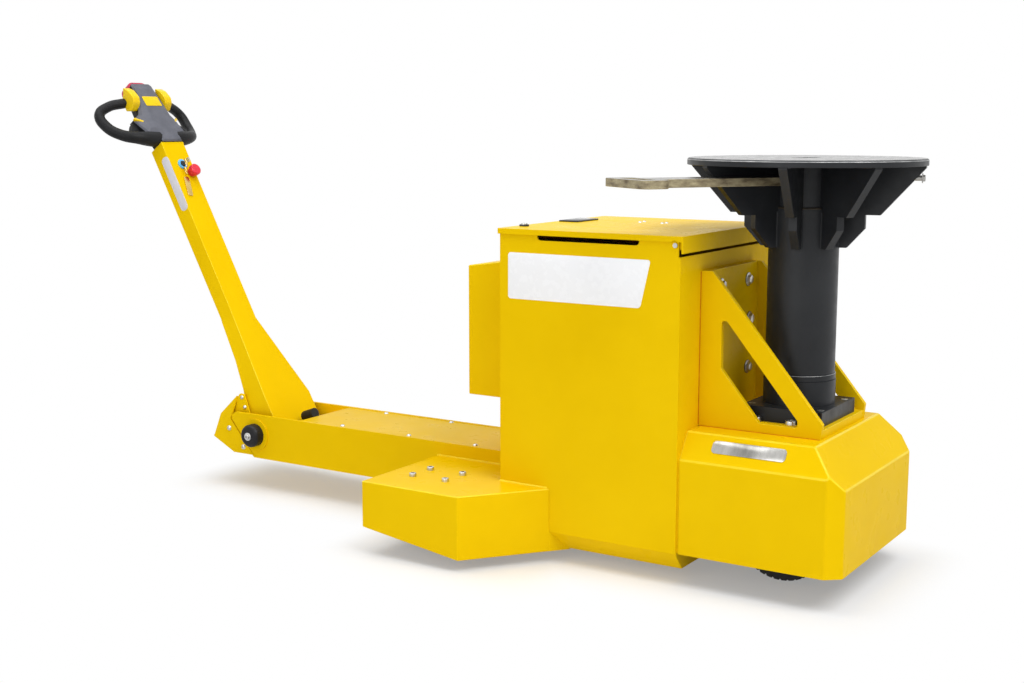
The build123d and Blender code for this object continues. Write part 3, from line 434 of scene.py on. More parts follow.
# A dark orange strip that is painted shade in the joints between bracket, cabinet and nose.
seam_shade_orange = finish(
    "orange_sealant",
    dark=(0.5, 0.13, 0.001), light=(0.62, 0.2, 0.002), gloss=(0.4, 0.55),
    blotch=30, grain=500, bump=0.15, shine=0.1)
print(plate_white.name, badge_chrome.name, seam_shade_orange.name)

# %% [markdown]
# The record names a finish for each solid. What a solid came with is cleared, and its finish put on, so
# that a solid without a rounded copy has the right look too.

# %% Finishes on the solids
slot_of = {part["node"]: part["material_slot"] for part in frame["record"]["subparts"]}
for name, solid in nodes.items():
    solid.data.materials.clear()
    solid.data.materials.append(finishes[slot_of[name]])
print(len(finishes), "finishes on", len(nodes), "solids")

# %% [markdown]
# Folded sheet and plate have no knife edges: each edge has a small radius, and it catches a line of
# light. A solid's own mesh must stay as it is, so each large piece gets a copy that stands for it. A
# solid is a mesh of loose triangles, and a bevel needs faces that hang together, so the copy is merged
# and its flat faces are made whole again.

# %% Copies of the solids
MERGE = 0.00001
FLAT = radians(0.5)
body_of = {name: body for body, names in frame["record"]["behaviour"]["bodies"].items() for name in names}


def only(piece):
    """Select one piece and nothing else."""
    bpy.ops.object.select_all(action="DESELECT")
    piece.select_set(True)
    bpy.context.view_layer.objects.active = piece


def twin(piece):
    """A copy of a piece, with its own mesh."""
    only(piece)
    bpy.ops.object.duplicate()
    return bpy.context.object


def edit_all(piece):
    """Go into edit mode with all of a piece selected."""
    only(piece)
    bpy.ops.object.mode_set(mode="EDIT")
    bpy.ops.mesh.select_all(action="SELECT")


def done():
    """Leave edit mode."""
    bpy.ops.object.mode_set(mode="OBJECT")


def copied(name, ending):
    """A merged copy of a solid, which stands for it and rides as it does."""
    copy = twin(nodes[name])
    for key in list(copy.keys()):
        del copy[key]
    copy.name = name + ending
    copy.data.name = copy.name
    copy.parent = None
    edit_all(copy)
    bpy.ops.mesh.remove_doubles(threshold=MERGE)
    bpy.ops.mesh.customdata_custom_splitnormals_clear()
    bpy.ops.mesh.dissolve_limited(angle_limit=FLAT)
    done()
    bpy.ops.object.shade_smooth()
    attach(copy, body_of[name])
    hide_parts(name)
    return copy


# %% [markdown]
# How round an edge is depends on the piece: a thin cover is bent tight, and a moulded or ground piece is
# rounder. The nose and the lid also have wide folds, on their outer skin only. A bevel takes every edge
# that is selected, so a rule tells the outer folds from the inner ones by the way their two faces look.

# %% Fold radii
fold_radius = {
    "cabinet_walls": 1.8, "lid_panel": 1.0, "rear_box": 3.0, "nose_cover": 1.0, "belly_pan": 2.2,
    "outrigger_left": 3.0, "outrigger_right": 3.0, "boom_beam": 2.0, "boom_cover": 1.5, "boom_guard": 1.8,
    "tiller_arm": 2.4, "mast_bracket": 1.5, "mast_base": 2.0, "head_ribs": 1.2, "coupling_plate": 1.0,
    "lock_bar": 1.4, "tiller_head": 3.0, "kingpin_housing": 0.8, "emergency_stop": 1.2, "key_switch": 0.8,
    "mast_sleeve": 1.2, "mast_wiper": 1.0, "lid_display": 1.0, "caster_plates": 1.0,
    "caster_fork_left": 1.0, "caster_fork_right": 1.0, "drive_frame": 1.2,
}


def pick_edges(piece, rule):
    """Go into edit mode with the edges selected whose two faces fit a rule."""
    only(piece)
    bpy.ops.object.mode_set(mode="EDIT")
    bpy.ops.mesh.select_mode(type="EDGE")
    bpy.ops.mesh.select_all(action="DESELECT")
    done()
    meeting = {}
    for face in piece.data.polygons:
        for key in face.edge_keys:
            meeting.setdefault(key, []).append(face)
    for edge in piece.data.edges:
        pair = meeting.get(edge.key, [])
        edge.select = len(pair) == 2 and rule(*pair)
    bpy.ops.object.mode_set(mode="EDIT")


def skin_fold(middle, skip):
    """A rule for the folds of a sheet's outer skin: both faces look away from the piece's middle."""
    def rule(one, two):
        for face in (one, two):
            if (face.center - middle).dot(face.normal) < 0 or face.normal.dot(skip) > 0.9:
                return False
        return one.normal.angle(two.normal) > radians(12)
    return rule


DOWN = Vector((0, 0, -1))
wide_folds = {
    "nose_cover": (7.0, at(150, 0, 200), DOWN),
    "lid_panel": (3.6, at(-250, 0, 845), DOWN),
}
print(len(fold_radius), "pieces with folds,", len(wide_folds), "with wide ones")

# %% [markdown]
# The wide folds come first, in edit mode, and a Bevel modifier then rounds what is still sharp. On a
# yellow piece the new faces of a fold that faces up take the paler yellow, a painted highlight.

# %% Folded pieces
SHARP = radians(28)
FACES_UP = 0.2


def apply(piece, kind, **settings):
    """Give a piece a modifier with these settings, and apply it."""
    only(piece)
    bpy.ops.object.modifier_add(type=kind)
    modifier = piece.modifiers[-1]
    for name, value in settings.items():
        setattr(modifier, name, value)
    bpy.ops.object.modifier_apply(modifier=modifier.name)


folded = {}
for name, radius in fold_radius.items():
    piece = copied(name, "_folded")
    # A yellow piece gets the paler yellow as a second finish, for the painted highlight on its folds.
    highlight_slot = -1
    if slot_of[name] == "yellow_paint":
        piece.data.materials.append(highlight_yellow)
        highlight_slot = 1
    if name in wide_folds:
        wide, middle, skip = wide_folds[name]
        pick_edges(piece, skin_fold(middle, skip))
        bpy.ops.mesh.bevel(
            offset=wide / 1000, segments=4, affect="EDGES", clamp_overlap=True, material=highlight_slot)
        done()
    apply(piece, "BEVEL", width=radius / 1000, segments=2, limit_method="ANGLE",
          angle_limit=SHARP, harden_normals=True, material=highlight_slot)
    if name in wide_folds:
        apply(piece, "WEIGHTED_NORMAL", weight=100)
    # Faces that look sideways or down go back to the first finish, so the painted highlight stays on folds
    # that face up.
    for face in piece.data.polygons:
        if face.normal.z < FACES_UP:
            face.material_index = 0
    folded[name] = piece
    print(piece.name, len(piece.data.polygons), "faces")

# %% [markdown]
# Some pieces show two finishes. The lock bar was flame cut from plate: its faces are bright mill steel
# and its sides are tan and brown. Trailers rub the coupling plate glossy on top, and the bright lines on
# the rounded edges of its rim are rubbed steel and painted highlight. The upward bevels of the mast's
# wiper carry the same painted highlight. The tiller's head has a lighter grained face over a dark body. A
# second piece could lie over each, but one mesh can carry several finishes, and its faces are told apart by
# their place and the way they look.

# %% Second finishes
LEAN = radians(37.5)
HEAD_OUT = Vector((cos(LEAN), 0, sin(LEAN)))
HEAD_UP = Vector((-sin(LEAN), 0, cos(LEAN)))


def on_head(y, u, n):
    """A place on the tiller's head: across, up the head, and out of its face."""
    return at(-1949, y, 1062) + (HEAD_UP * u + HEAD_OUT * n) / 1000


head_start = on_head(0, 0, 0)


def repaint(piece, material, rule):
    """Give the faces that fit a rule of centre and normal another finish."""
    piece.data.materials.append(material)
    last = len(piece.data.materials) - 1
    count = 0
    for face in piece.data.polygons:
        if rule(face.center, face.normal):
            face.material_index = last
            count += 1
    print(piece.name, count, "faces in", material.name)


def rim_edge(centre, normal):
    """The rounded edges of the plate's rim, without the slanted face between them."""
    return 0.1 < normal.z < 0.97 and abs(normal.z - 0.707) > 0.04


def head_face(centre, normal):
    """The head's upper shell: all that lies before its parting line and looks out of its face."""
    return (centre - head_start).dot(HEAD_OUT) > -0.0165 and normal.dot(HEAD_OUT) > 0.2


repaint(folded["lock_bar"], cut_edge, lambda centre, normal: abs(normal.z) < 0.75)
# The rim's rounded edges: rubbed steel and a painted highlight line.
repaint(folded["coupling_plate"], rubbed_highlight_edge, rim_edge)
repaint(folded["coupling_plate"], rubbed_top, lambda centre, normal: normal.z > 0.97)
# The wiper's bevels that face up: a painted highlight line.
repaint(folded["mast_wiper"], rubbed_highlight_edge, lambda centre, normal: 0.1 < normal.z < 0.95)
repaint(folded["tiller_head"], grey_face, head_face)

# %% [markdown]
# The head's grained face is not flat: its middle stands a little proud, and its shoulders fall back. An
# inset of the flat front and a short lift give the middle, and two cuts down the face mark the hinges.

# %% Crown of the head
HINGE = 42


def pick(piece, rule):
    """Go into edit mode with the faces selected that fit a rule of centre and normal."""
    only(piece)
    bpy.ops.object.mode_set(mode="EDIT")
    bpy.ops.mesh.select_mode(type="FACE")
    bpy.ops.mesh.select_all(action="DESELECT")
    done()
    for face in piece.data.polygons:
        face.select = rule(face.center, face.normal)
    bpy.ops.object.mode_set(mode="EDIT")


def flat_front(centre, normal):
    """The flat front of the head's face."""
    return normal.dot(HEAD_OUT) > 0.995 and (centre - head_start).dot(HEAD_OUT) > 0.007


head = folded["tiller_head"]
pick(head, flat_front)
bpy.ops.mesh.inset(thickness=0.012)
bpy.ops.transform.translate(value=HEAD_OUT * 0.003)
for hinge in (-HINGE, HINGE):
    bpy.ops.mesh.select_all(action="SELECT")
    bpy.ops.mesh.bisect(plane_co=(0, hinge / 1000, 0), plane_no=(0, 1, 0))
done()
print(head.name, len(head.data.polygons), "faces with the crown")

# %% [markdown]
# Beyond the hinges each shoulder bends: its upper corner goes back and up the head, its lower corner only
# a little. A lattice could bend it, but a rule for each point says more plainly how far it goes. The
# face's top edge is raised too, up to the reversing button.

# %% Shoulders of the head
SHOULDER = 48
LOWER_CORNER = 56
SHOULDER_TOP = 140
FACE_TOP = 205
SHELL_BACK = -0.017


def bend(reach, up):
    """How far a shoulder's point goes outward, up the head and out of its face, in millimetres."""
    if up <= LOWER_CORNER:
        return -9.4 * reach, -7.3 * reach, -6.3 * reach
    share = min(1, (SHOULDER_TOP - up) / 44)
    return (
        36 * reach * (1 - reach) * share,
        (74 - 44 * reach) * reach * share,
        (20 * reach - 45) * reach * share,
    )


for vertex in head.data.vertices:
    up = (vertex.co - head_start).dot(HEAD_UP) * 1000
    reach = (abs(vertex.co.y) * 1000 - HINGE) / SHOULDER
    outward = 1 if vertex.co.y > 0 else -1
    if (vertex.co - head_start).dot(HEAD_OUT) < SHELL_BACK:
        continue
    if up > FACE_TOP:
        vertex.co += HEAD_UP * 0.009 + Vector((0, outward * 0.005, 0))
    if reach > 0 and up <= SHOULDER_TOP:
        aside, along, forth = bend(reach, up)
        vertex.co += (Vector((0, outward * aside, 0)) + HEAD_UP * along + HEAD_OUT * forth) / 1000
pick(head, lambda centre, normal: abs(centre.y) > 0.04 and (centre - head_start).dot(HEAD_OUT) > -0.03)
bpy.ops.mesh.quads_convert_to_tris(quad_method="BEAUTY", ngon_method="BEAUTY")
bpy.ops.mesh.customdata_custom_splitnormals_clear()
done()
bpy.ops.object.shade_smooth_by_angle(angle=radians(24))
print(head.name, len(head.data.polygons), "faces with the shoulders")

# %% [markdown]
# The hand loops are thick at their lower roots and slim in the hand. A Bezier curve with a radius at each
# point draws such a tube better than a chain of cylinders would. It becomes a mesh at once.

# %% Hand loops
HANDS = ((-1, "right"), (1, "left"))
GRIP = 16
loop_line = (
    # across, up the head, out of its face, radius
    (34, 171, -14, 16), (88, 174, -29, 16), (135, 172, -44, 16),
    (174, 150, -58, 16.5), (175, 105, -57, 17), (150, 58, -40, 17.5),
    (112, 32, -20, 20), (72, 24, -16, 24), (30, 24, -18, 27),
)


def hand_loop(side):
    """One loop, from its upper end at the paddle round to its root under the shoulder."""
    bpy.ops.object.select_all(action="DESELECT")
    bpy.ops.curve.primitive_bezier_curve_add(location=(0, 0, 0))
    loop = bpy.context.object
    spline = loop.data.splines[0]
    spline.bezier_points.add(len(loop_line) - 2)
    for knot, (y, u, n, radius) in zip(spline.bezier_points, loop_line):
        knot.co = on_head(side * y, u, n)
        knot.radius = radius / GRIP
        knot.handle_left_type = "AUTO"
        knot.handle_right_type = "AUTO"
    loop.data.dimensions = "3D"
    loop.data.resolution_u = 10
    loop.data.bevel_depth = GRIP / 1000
    loop.data.bevel_resolution = 6
    loop.data.use_fill_caps = True
    bpy.ops.object.convert(target="MESH")
    return bpy.context.object


def joined(first, second):
    """The first piece, with the second joined into it."""
    only(first)
    second.select_set(True)
    bpy.ops.object.join()
    return first


def put(piece, name, body, material, slot=None, angle=38):
    """Name a finished piece, give it its finish and let it ride on a body."""
    only(piece)
    piece.name = name
    piece.data.name = name
    piece.data.materials.clear()
    piece.data.materials.append(material)
    bpy.ops.object.shade_smooth_by_angle(angle=radians(angle))
    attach(piece, body)
    return piece


loops = joined(*[hand_loop(side) for side, hand in HANDS])
put(loops, "hand_loops", "tiller", finishes["grey_plastic"], "grey_plastic")
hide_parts("tiller_grips")
print("hand loops", len(loops.data.polygons), "faces")

# %% [markdown]
# Blank panels on the head: the yellow one on its face and a small yellow button on each shoulder. A dark
# web behind each shoulder joins it to the loop's root. A plate is a plane laid on its carrier, its corners
# bevelled in the plane, then extruded and its rim rounded.

# %% Plates
def plate(corners, out, thick, corner, rim, steps=2, both=False):
    """A plate with rounded corners on a flat face, from its outline's corners in order."""
    bpy.ops.object.select_all(action="DESELECT")
    bpy.ops.mesh.primitive_circle_add(vertices=len(corners), radius=1, fill_type="NGON")
    piece = bpy.context.object
    for vertex, place in zip(piece.data.vertices, corners):
        vertex.co = place
    edit_all(piece)
    bpy.ops.mesh.bevel(offset=corner / 1000, segments=5, affect="VERTICES", clamp_overlap=True)
    bpy.ops.mesh.select_all(action="SELECT")
    bpy.ops.mesh.extrude_region_move(TRANSFORM_OT_translate={"value": out * thick / 1000})
    bpy.ops.mesh.select_all(action="SELECT")
    bpy.ops.mesh.normals_make_consistent(inside=False)
    done()
    pick(piece, lambda centre, normal: normal.dot(out) > 0.9 or both and normal.dot(out) < -0.9)
    bpy.ops.mesh.bevel(offset=rim / 1000, segments=steps, affect="EDGES", clamp_overlap=True)
    done()
    return piece


panel_line = ((-33, 136), (33, 136), (33, 173), (-33, 173))
button_line = ((93, 98, -19), (68, 78, -10), (65, 85, -10), (90, 105, -19))
web_line = ((58, 30), (112, 38), (124, 58), (108, 84), (92, 96), (60, 82))
panel = plate([on_head(y, u, 10.6) for y, u in panel_line], HEAD_OUT, thick=1.9, corner=3, rim=0.6)
put(panel, "head_panel", "tiller", finishes["yellow_plastic"], "yellow_plastic")
for side, hand in HANDS:
    spots = [on_head(side * y, u, n) for y, u, n in button_line]
    button = plate(spots, HEAD_OUT, thick=9, corner=3, rim=1.5)
    put(button, "shoulder_button_" + hand, "tiller", finishes["yellow_plastic"], "yellow_plastic")
    spots = [on_head(side * y, u, -38) for y, u in web_line]
    web = plate(spots, HEAD_OUT, thick=15, corner=9, rim=5, steps=4, both=True)
    put(web, "loop_web_" + hand, "tiller", finishes["grey_plastic"], "grey_plastic")
print("head panel", tuple(panel.dimensions))

# %% [markdown]
# A thumb paddle is a moulded rocker round the upper end of each loop, and the reversing button a rounded
# cap over the head's end. Both are thick plates with generous corners and rims.

# %% Thumb paddles and reversing button
PADDLE_Y = 54
CAP_BACK = -56
paddle_line = (
    (133, -13), (146, 13), (163, 21), (193, 16), (214, 3), (200, -7), (178, -32), (158, -29), (147, -34),
)
cap_line = ((44, 194), (44, 224), (31, 246), (-31, 246), (-44, 224), (-44, 194))
halves = []
for side, hand in HANDS:
    spots = [on_head(side * PADDLE_Y, u, n) for u, n in paddle_line]
    halves.append(plate(spots, Vector((0, side, 0)), thick=29, corner=5, rim=6, steps=5, both=True))
paddles = joined(*halves)
put(paddles, "moulded_paddles", "tiller", finishes["yellow_plastic"], "yellow_plastic", angle=50)
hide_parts("thumb_paddles")
spots = [on_head(y, u, CAP_BACK) for y, u in cap_line]
cap = plate(spots, HEAD_OUT, thick=52, corner=11, rim=8, steps=5, both=True)
put(cap, "reversing_cap", "tiller", crimson, angle=50)
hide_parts("bump_button")
print(paddles.name, cap.name)

# %% [markdown]
# The long side plate is a thin blank sheet with one slanted end, and the nose badge a small polished one
# on the nose's upper slope. Both need only an outline on the face that carries them.

# %% Side plate and nose badge
SIDE_FACE = -275.8
HALF_BADGE = 16.5
RIGHT = Vector((0, -1, 0))
side_line = ((-482, 679), (-105, 679), (-78, 797), (-482, 797))
label = plate([at(x, SIDE_FACE, z) for x, z in side_line], RIGHT, thick=0.9, corner=8, rim=0.3)
put(label, "side_plate", "chassis", plate_white)
slope_out = Vector((0, -64.9, 43)).normalized()
slope_middle = Vector((0, -247, 355.5))
fall = Vector((0, -43, -64.9)).normalized() * HALF_BADGE
spots = [at(x, *(slope_middle + fall * way).yz) for x, way in ((79, 1), (266, 1), (266, -1), (79, -1))]
badge = plate(spots, slope_out, thick=1.6, corner=10, rim=0.7)
put(badge, "nose_badge", "chassis", badge_chrome)
print(label.name, badge.name)

# %% [markdown]
# The tiller's arm leans back. Places on it are easier to give along its own slope, so it has a helper like
# the head's. The blank strip lies flat on the arm's right cheek, along the slope.

# %% Arm strip
ARM_UP = Vector((-0.4724, 0, 0.8814))
ARM_OUT = Vector((0.8814, 0, 0.4724))
ARM_CHEEK = -47.8
HALF_STRIP = 0.0165


def on_arm(up, y, out):
    """A place on the tiller arm's front face: up from its kink, across, and out."""
    return at(-1651, y, 506) + (ARM_UP * up + ARM_OUT * out) / 1000


def along(low, top, half):
    """The four corners of a strip from its low end to its top end."""
    return [low - half, low + half, top + half, top - half]


strip_low = at(-1850, ARM_CHEEK, 847)
strip_top = at(-1938, ARM_CHEEK, 1012)
strip = plate(along(strip_low, strip_top, ARM_OUT * HALF_STRIP), RIGHT, thick=0.8, corner=14, rim=0.3)
put(strip, "arm_strip", "tiller", plate_silver)
print(strip.name, tuple(strip.dimensions))

# %% [markdown]
# Fasteners are modelled once, at a head radius of one metre, and copied small to their places: a socket
# screw, a domed screw and a hexagon bolt on its washer. The sockets are cut with a Boolean.

# %% Screw masters
def settle(piece):
    """Fix a piece's place, turn and size in its mesh."""
    only(piece)
    bpy.ops.object.transform_apply(location=True, rotation=True, scale=True)


def cut(piece, tool):
    """Cut a tool out of a piece and throw the tool away."""
    apply(piece, "BOOLEAN", object=tool, operation="DIFFERENCE", solver="EXACT")
    bpy.data.objects.remove(tool)


def drum(sides, radius, depth, height):
    """A short cylinder, its middle at a height, to be shaped."""
    bpy.ops.object.select_all(action="DESELECT")
    bpy.ops.mesh.primitive_cylinder_add(vertices=sides, radius=radius, depth=depth, location=(0, 0, height))
    piece = bpy.context.object
    settle(piece)
    return piece


def soften_top(piece, amount, steps):
    """Bevel the rim of the face that looks up."""
    pick(piece, lambda centre, normal: normal.z > 0.9)
    bpy.ops.mesh.bevel(offset=amount, segments=steps, affect="EDGES")
    done()


socket_screw = drum(32, radius=1.0, depth=1.0, height=0.5)
soften_top(socket_screw, 0.16, steps=3)
cut(socket_screw, drum(6, radius=0.56, depth=1.2, height=1.15))

hex_bolt = drum(6, radius=0.66, depth=0.5, height=0.36)
soften_top(hex_bolt, 0.07, steps=2)
washer = drum(32, radius=1.0, depth=0.14, height=0.07)
soften_top(washer, 0.04, steps=2)
joined(hex_bolt, washer)

DOME_BASE = 0.35
bpy.ops.object.select_all(action="DESELECT")
bpy.ops.mesh.primitive_uv_sphere_add(segments=28, ring_count=16, radius=1.06, location=(0, 0, 0))
dome_screw = bpy.context.object
edit_all(dome_screw)
bpy.ops.mesh.bisect(plane_co=(0, 0, DOME_BASE), plane_no=(0, 0, 1), clear_inner=True, use_fill=True)
bpy.ops.mesh.select_all(action="SELECT")
bpy.ops.transform.translate(value=(0, 0, -DOME_BASE))
done()
cut(dome_screw, drum(6, radius=0.4, depth=0.8, height=0.85))
masters = {"socket": socket_screw, "hex": hex_bolt, "dome": dome_screw}
print({name: len(master.data.polygons) for name, master in masters.items()})

# %% [markdown]
# A fastener's seat is a place and the way its head looks. A copy of a master is turned there, made small,
# and all of that is fixed in its mesh. Most fasteners come in pairs, so a table gives the right and the
# left ones at once, with the way across counted outward.

# %% Fasteners in their places
UP = (0, 0, 1)
FORWARD = (1, 0, 0)
OUTWARD = (0, 1, 0)
WASHER_FROM = 0.0122


def handed(side, x, y, z):
    """A place or a way on one hand of the machine."""
    return x, side * y, z


def stand(piece, spot, out, up=Vector((0, 0, 1)), size=1.0):
    """Turn a piece so that its Z looks out of its seat, set it there, and fix that in its mesh."""
    out = Vector(out).normalized()
    up = Vector(up)
    if abs(up.normalized().dot(out)) > 0.95:
        up = Vector((1, 0, 0))
    across = up.cross(out).normalized()
    turn = Matrix((across, out.cross(across), out)).transposed().to_4x4()
    piece.matrix_world = Matrix.Translation(spot) @ turn @ Matrix.Scale(size, 4)
    settle(piece)


def fasten(kind, name, spot, out, radius, body="chassis"):
    """A zinc plated copy of a screw master on a face."""
    screw = twin(masters[kind])
    stand(screw, spot, out, size=radius / 1000)
    return put(screw, name, body, finishes["zinc_steel"], "zinc_steel")


side_screws = (
    # kind, name, the way it looks, head radius, places
    ("hex", "back_plate_bolt", FORWARD, 18, ((19.8, 84, 724), (19.8, 96, 622), (19.8, 90, 496))),
    ("socket", "foot_screw", UP, 9.2, ((110, 84, 429.5), (286, 84, 429.5))),
    ("socket", "base_bolt", UP, 13.4, ((140, 130.5, 402.3), (229, 130.5, 402.3))),
    ("dome", "cover_screw", UP, 7.5, ((-1175, 106, 233.8), (-930, 106, 233.8), (-700, 106, 233.8))),
    ("dome", "guard_bolt", OUTWARD, 8.5, ((-1611, 128.8, 181), (-1553, 128.8, 127.5))),
)
screws = []
for number, (x, y) in enumerate(((-300, 95), (-300, 121), (-230, 88), (-225, 104)), 1):
    screws.append(fasten("dome", f"lid_screw_{number}", at(x, y, 856.8), UP, 5.5, "lid"))
for side, hand in HANDS:
    for kind, name, way, radius, places in side_screws:
        for number, place in enumerate(places, 1):
            spot = at(*handed(side, *place))
            screws.append(fasten(kind, f"{name}_{hand}_{number}", spot, handed(side, *way), radius))
            if kind == "hex":
                repaint(screws[-1], black_zinc,
                        lambda centre, normal: (centre - spot).yz.length > WASHER_FROM)
    box_spot = at(-530, side * 199.8, 715)
    screws.append(fasten("dome", f"box_screw_{hand}", box_spot, handed(side, *OUTWARD), 5))
print(len(screws), "screws and bolts")

# %% [markdown]
# Four socket screws hold each caster's plate under its housing, in the usual oblong pattern about the
# swivel. It is counted from right to left on both hands, not mirrored, so it has a loop of its own.

# %% Caster bolts
SWIVEL_X = -676
SWIVEL_Y = 320
pattern = ((-52.5, -40), (-52.5, 40), (52.5, -40), (52.5, 40))
for side, hand in HANDS:
    for number, (x, y) in enumerate(pattern, 1):
        spot = at(SWIVEL_X + x, side * SWIVEL_Y + y, 196.5)
        screws.append(fasten("socket", f"caster_bolt_{hand}_{number}", spot, UP, 9.5))
print(len(screws), "screws and bolts with the casters'")

# %% [markdown]
# A bolt is screwed into the slanted edge of the foremost rib and points straight away from the mast. Its
# shank and a copy of the hexagon master are joined upright, where that is easy, and then laid level.

# %% Rib bolt
MAST_X = 198
HEAD_TURN = 55.3
RIB_STEP = 45
rib_turn = radians(HEAD_TURN - RIB_STEP)
rib_way = Vector((cos(rib_turn), sin(rib_turn), 0))
shank = drum(20, radius=0.0065, depth=0.032, height=0.003)
soften_top(shank, 0.0008, steps=2)
bolt_head = twin(masters["hex"])
bolt_head.matrix_world = Matrix.Translation((0, 0, 0.013)) @ Matrix.Scale(0.0115, 4)
settle(bolt_head)
joined(shank, bolt_head)
stand(shank, at(MAST_X, 0, 0) + (rib_way * 260 + Vector((0, 0, 992))) / 1000, rib_way)
put(shank, "rib_bolt", "coupling", finishes["bare_steel"], "bare_steel")
print("rib bolt", len(shank.data.polygons), "faces")

# %% [markdown]
# A weld is a row of small overlapping ripples. One ripple is a flattened ball, an Array lays the row, and
# a Displace makes the ripples uneven. Each run is then laid into its corner.

# %% Weld beads
ripple_noise = bpy.data.textures.new("ripple_noise", "CLOUDS")
ripple_noise.noise_scale = 0.012
beads = []


def bead(name, start, end, out, width, body, material, slot=None):
    """A weld bead from start to end, its crown looking out of the corner."""
    run = end - start
    pitch = width * 0.42
    bpy.ops.object.select_all(action="DESELECT")
    bpy.ops.mesh.primitive_uv_sphere_add(segments=10, ring_count=6, radius=width / 2, location=(0, 0, 0))
    row = bpy.context.object
    edit_all(row)
    bpy.ops.transform.resize(value=(0.62, 1.0, 0.55))
    done()
    apply(row, "ARRAY", count=max(2, int(run.length / pitch)), use_relative_offset=False,
          use_constant_offset=True, constant_offset_displace=(pitch, 0, 0))
    apply(row, "DISPLACE", texture=ripple_noise, strength=width * 0.18, mid_level=0.5)
    way = run.normalized()
    out = (Vector(out) - way * way.dot(Vector(out))).normalized()
    turn = Matrix((way, out.cross(way), out)).transposed().to_4x4()
    row.matrix_world = Matrix.Translation(start) @ turn
    settle(row)
    beads.append(put(row, name, body, material, slot, angle=60))


yellow = finishes["yellow_paint"]
# The boom and cabinet welds take the paler yellow, a painted highlight along the bead.
yellow_runs = (
    # name, start, end, the way its crown looks, width, finish, slot
    ("boom_weld", (-810, 129.5, 197), (-508, 129.5, 197), (0, 1, 1), 0.011, highlight_yellow, None),
    ("cabinet_weld", (-506, 276.5, 197), (-362, 276.5, 197), (0, 1, 1), 0.011, highlight_yellow, None),
    ("gusset_weld", (22, 143.5, 404), (300, 143.5, 403), (0, -1, 1), 0.008, yellow, "yellow_paint"),
    ("gusset_rear_weld", (20.5, 143.5, 410), (20.5, 143.5, 760), (1, -1, 0), 0.008, yellow, "yellow_paint"),
)
for side, hand in HANDS:
    for name, start, end, crown, width, material, slot in yellow_runs:
        start, end = at(*handed(side, *start)), at(*handed(side, *end))
        bead(f"{name}_{hand}", start, end, handed(side, *crown), width, "chassis", material, slot)
print(len(beads), "yellow beads")

# %% [markdown]
# Each of the eight ribs is welded on both sides, upright along the sleeve and level under the plate. The
# lock bar slides along one rib, which has no seam under the plate. A ring of weld, a torus made uneven by
# the same noise, closes the king-pin housing.

# %% Welds of the coupling head
charcoal = finishes["charcoal_paint"]
RIBS = 8
BAR_RIB = 4
RIB_SIDE = 10.2
SLEEVE_SIDE = 84.5
RIB_BEAD = 0.007
mast = at(MAST_X, 0, 0)
for rib in range(RIBS):
    turn = radians(HEAD_TURN + RIB_STEP * rib)
    way = Vector((cos(turn), sin(turn), 0))
    across = Vector((-sin(turn), cos(turn), 0))
    for hand, side in (("a", -1), ("b", 1)):
        edge = mast + (way * SLEEVE_SIDE + across * side * RIB_SIDE) / 1000
        bead(f"rib_weld_{rib}_{hand}", edge + Vector((0, 0, 0.826)), edge + Vector((0, 0, 0.912)),
             way + across * side, RIB_BEAD, "coupling", charcoal, "charcoal_paint")
        under = mast + (across * side * RIB_SIDE) / 1000 + Vector((0, 0, 1.0205))
        if rib != BAR_RIB:
            bead(f"plate_weld_{rib}_{hand}", under + way * 0.086, under + way * 0.272,
                 across * side - Vector((0, 0, 1)), RIB_BEAD, "coupling", charcoal, "charcoal_paint")
bpy.ops.object.select_all(action="DESELECT")
bpy.ops.mesh.primitive_torus_add(location=at(MAST_X, 0, 917.6), major_segments=120, minor_segments=8,
                                 major_radius=0.0798, minor_radius=0.0042)
ring = bpy.context.object
settle(ring)
apply(ring, "DISPLACE", texture=ripple_noise, texture_coords="LOCAL", strength=0.0016, mid_level=0.5)
put(ring, "housing_weld", "coupling", weld_steel, angle=60)
print(len(beads), "beads and", ring.name)

# %% [markdown]
# A thin dark orange strip is painted shade where the bracket meets cabinet and nose: it stands for the
# shaded joint. The gap between nose and cabinet has a folded edge behind it, so it is never quite black.
# The shade strip lies flat, so it is a narrow plate, and so is the edge.

# %% Painted seam shade and nose edge
upright_line = ((157.5, 386), (161.5, 386), (161.5, 764), (157.5, 764))
foot_line = ((2, 157.5), (313, 157.5), (313, 161.5), (2, 161.5))
edge_line = ((-269.5, 84), (-269.5, 316.5), (-227.5, 380), (227.5, 380), (269.5, 316.5), (269.5, 84))
for side, hand in HANDS:
    spots = [at(-0.2, side * y, z) for y, z in upright_line]
    strip = plate(spots, Vector(FORWARD), thick=1.0, corner=1, rim=0.3)
    put(strip, "sealant_upright_" + hand, "chassis", seam_shade_orange)
    spots = [at(x, side * y, 382.3) for x, y in foot_line]
    strip = plate(spots, Vector(UP), thick=1.0, corner=1, rim=0.3)
    put(strip, "sealant_foot_" + hand, "chassis", seam_shade_orange)
seam = plate([at(-0.4, y, z) for y, z in edge_line], Vector(FORWARD), thick=4.4, corner=2, rim=0.5)
put(seam, "nose_rear_edge", "chassis", yellow, "yellow_paint")
print(strip.name, seam.name)

# %% [markdown]
# Each caster housing's slanting wall runs on under the cabinet to the belly pan. The guard's cheeks have a
# bolted inner plate each beside the tiller's foot, clear of it at every angle, and a strip behind the seam.

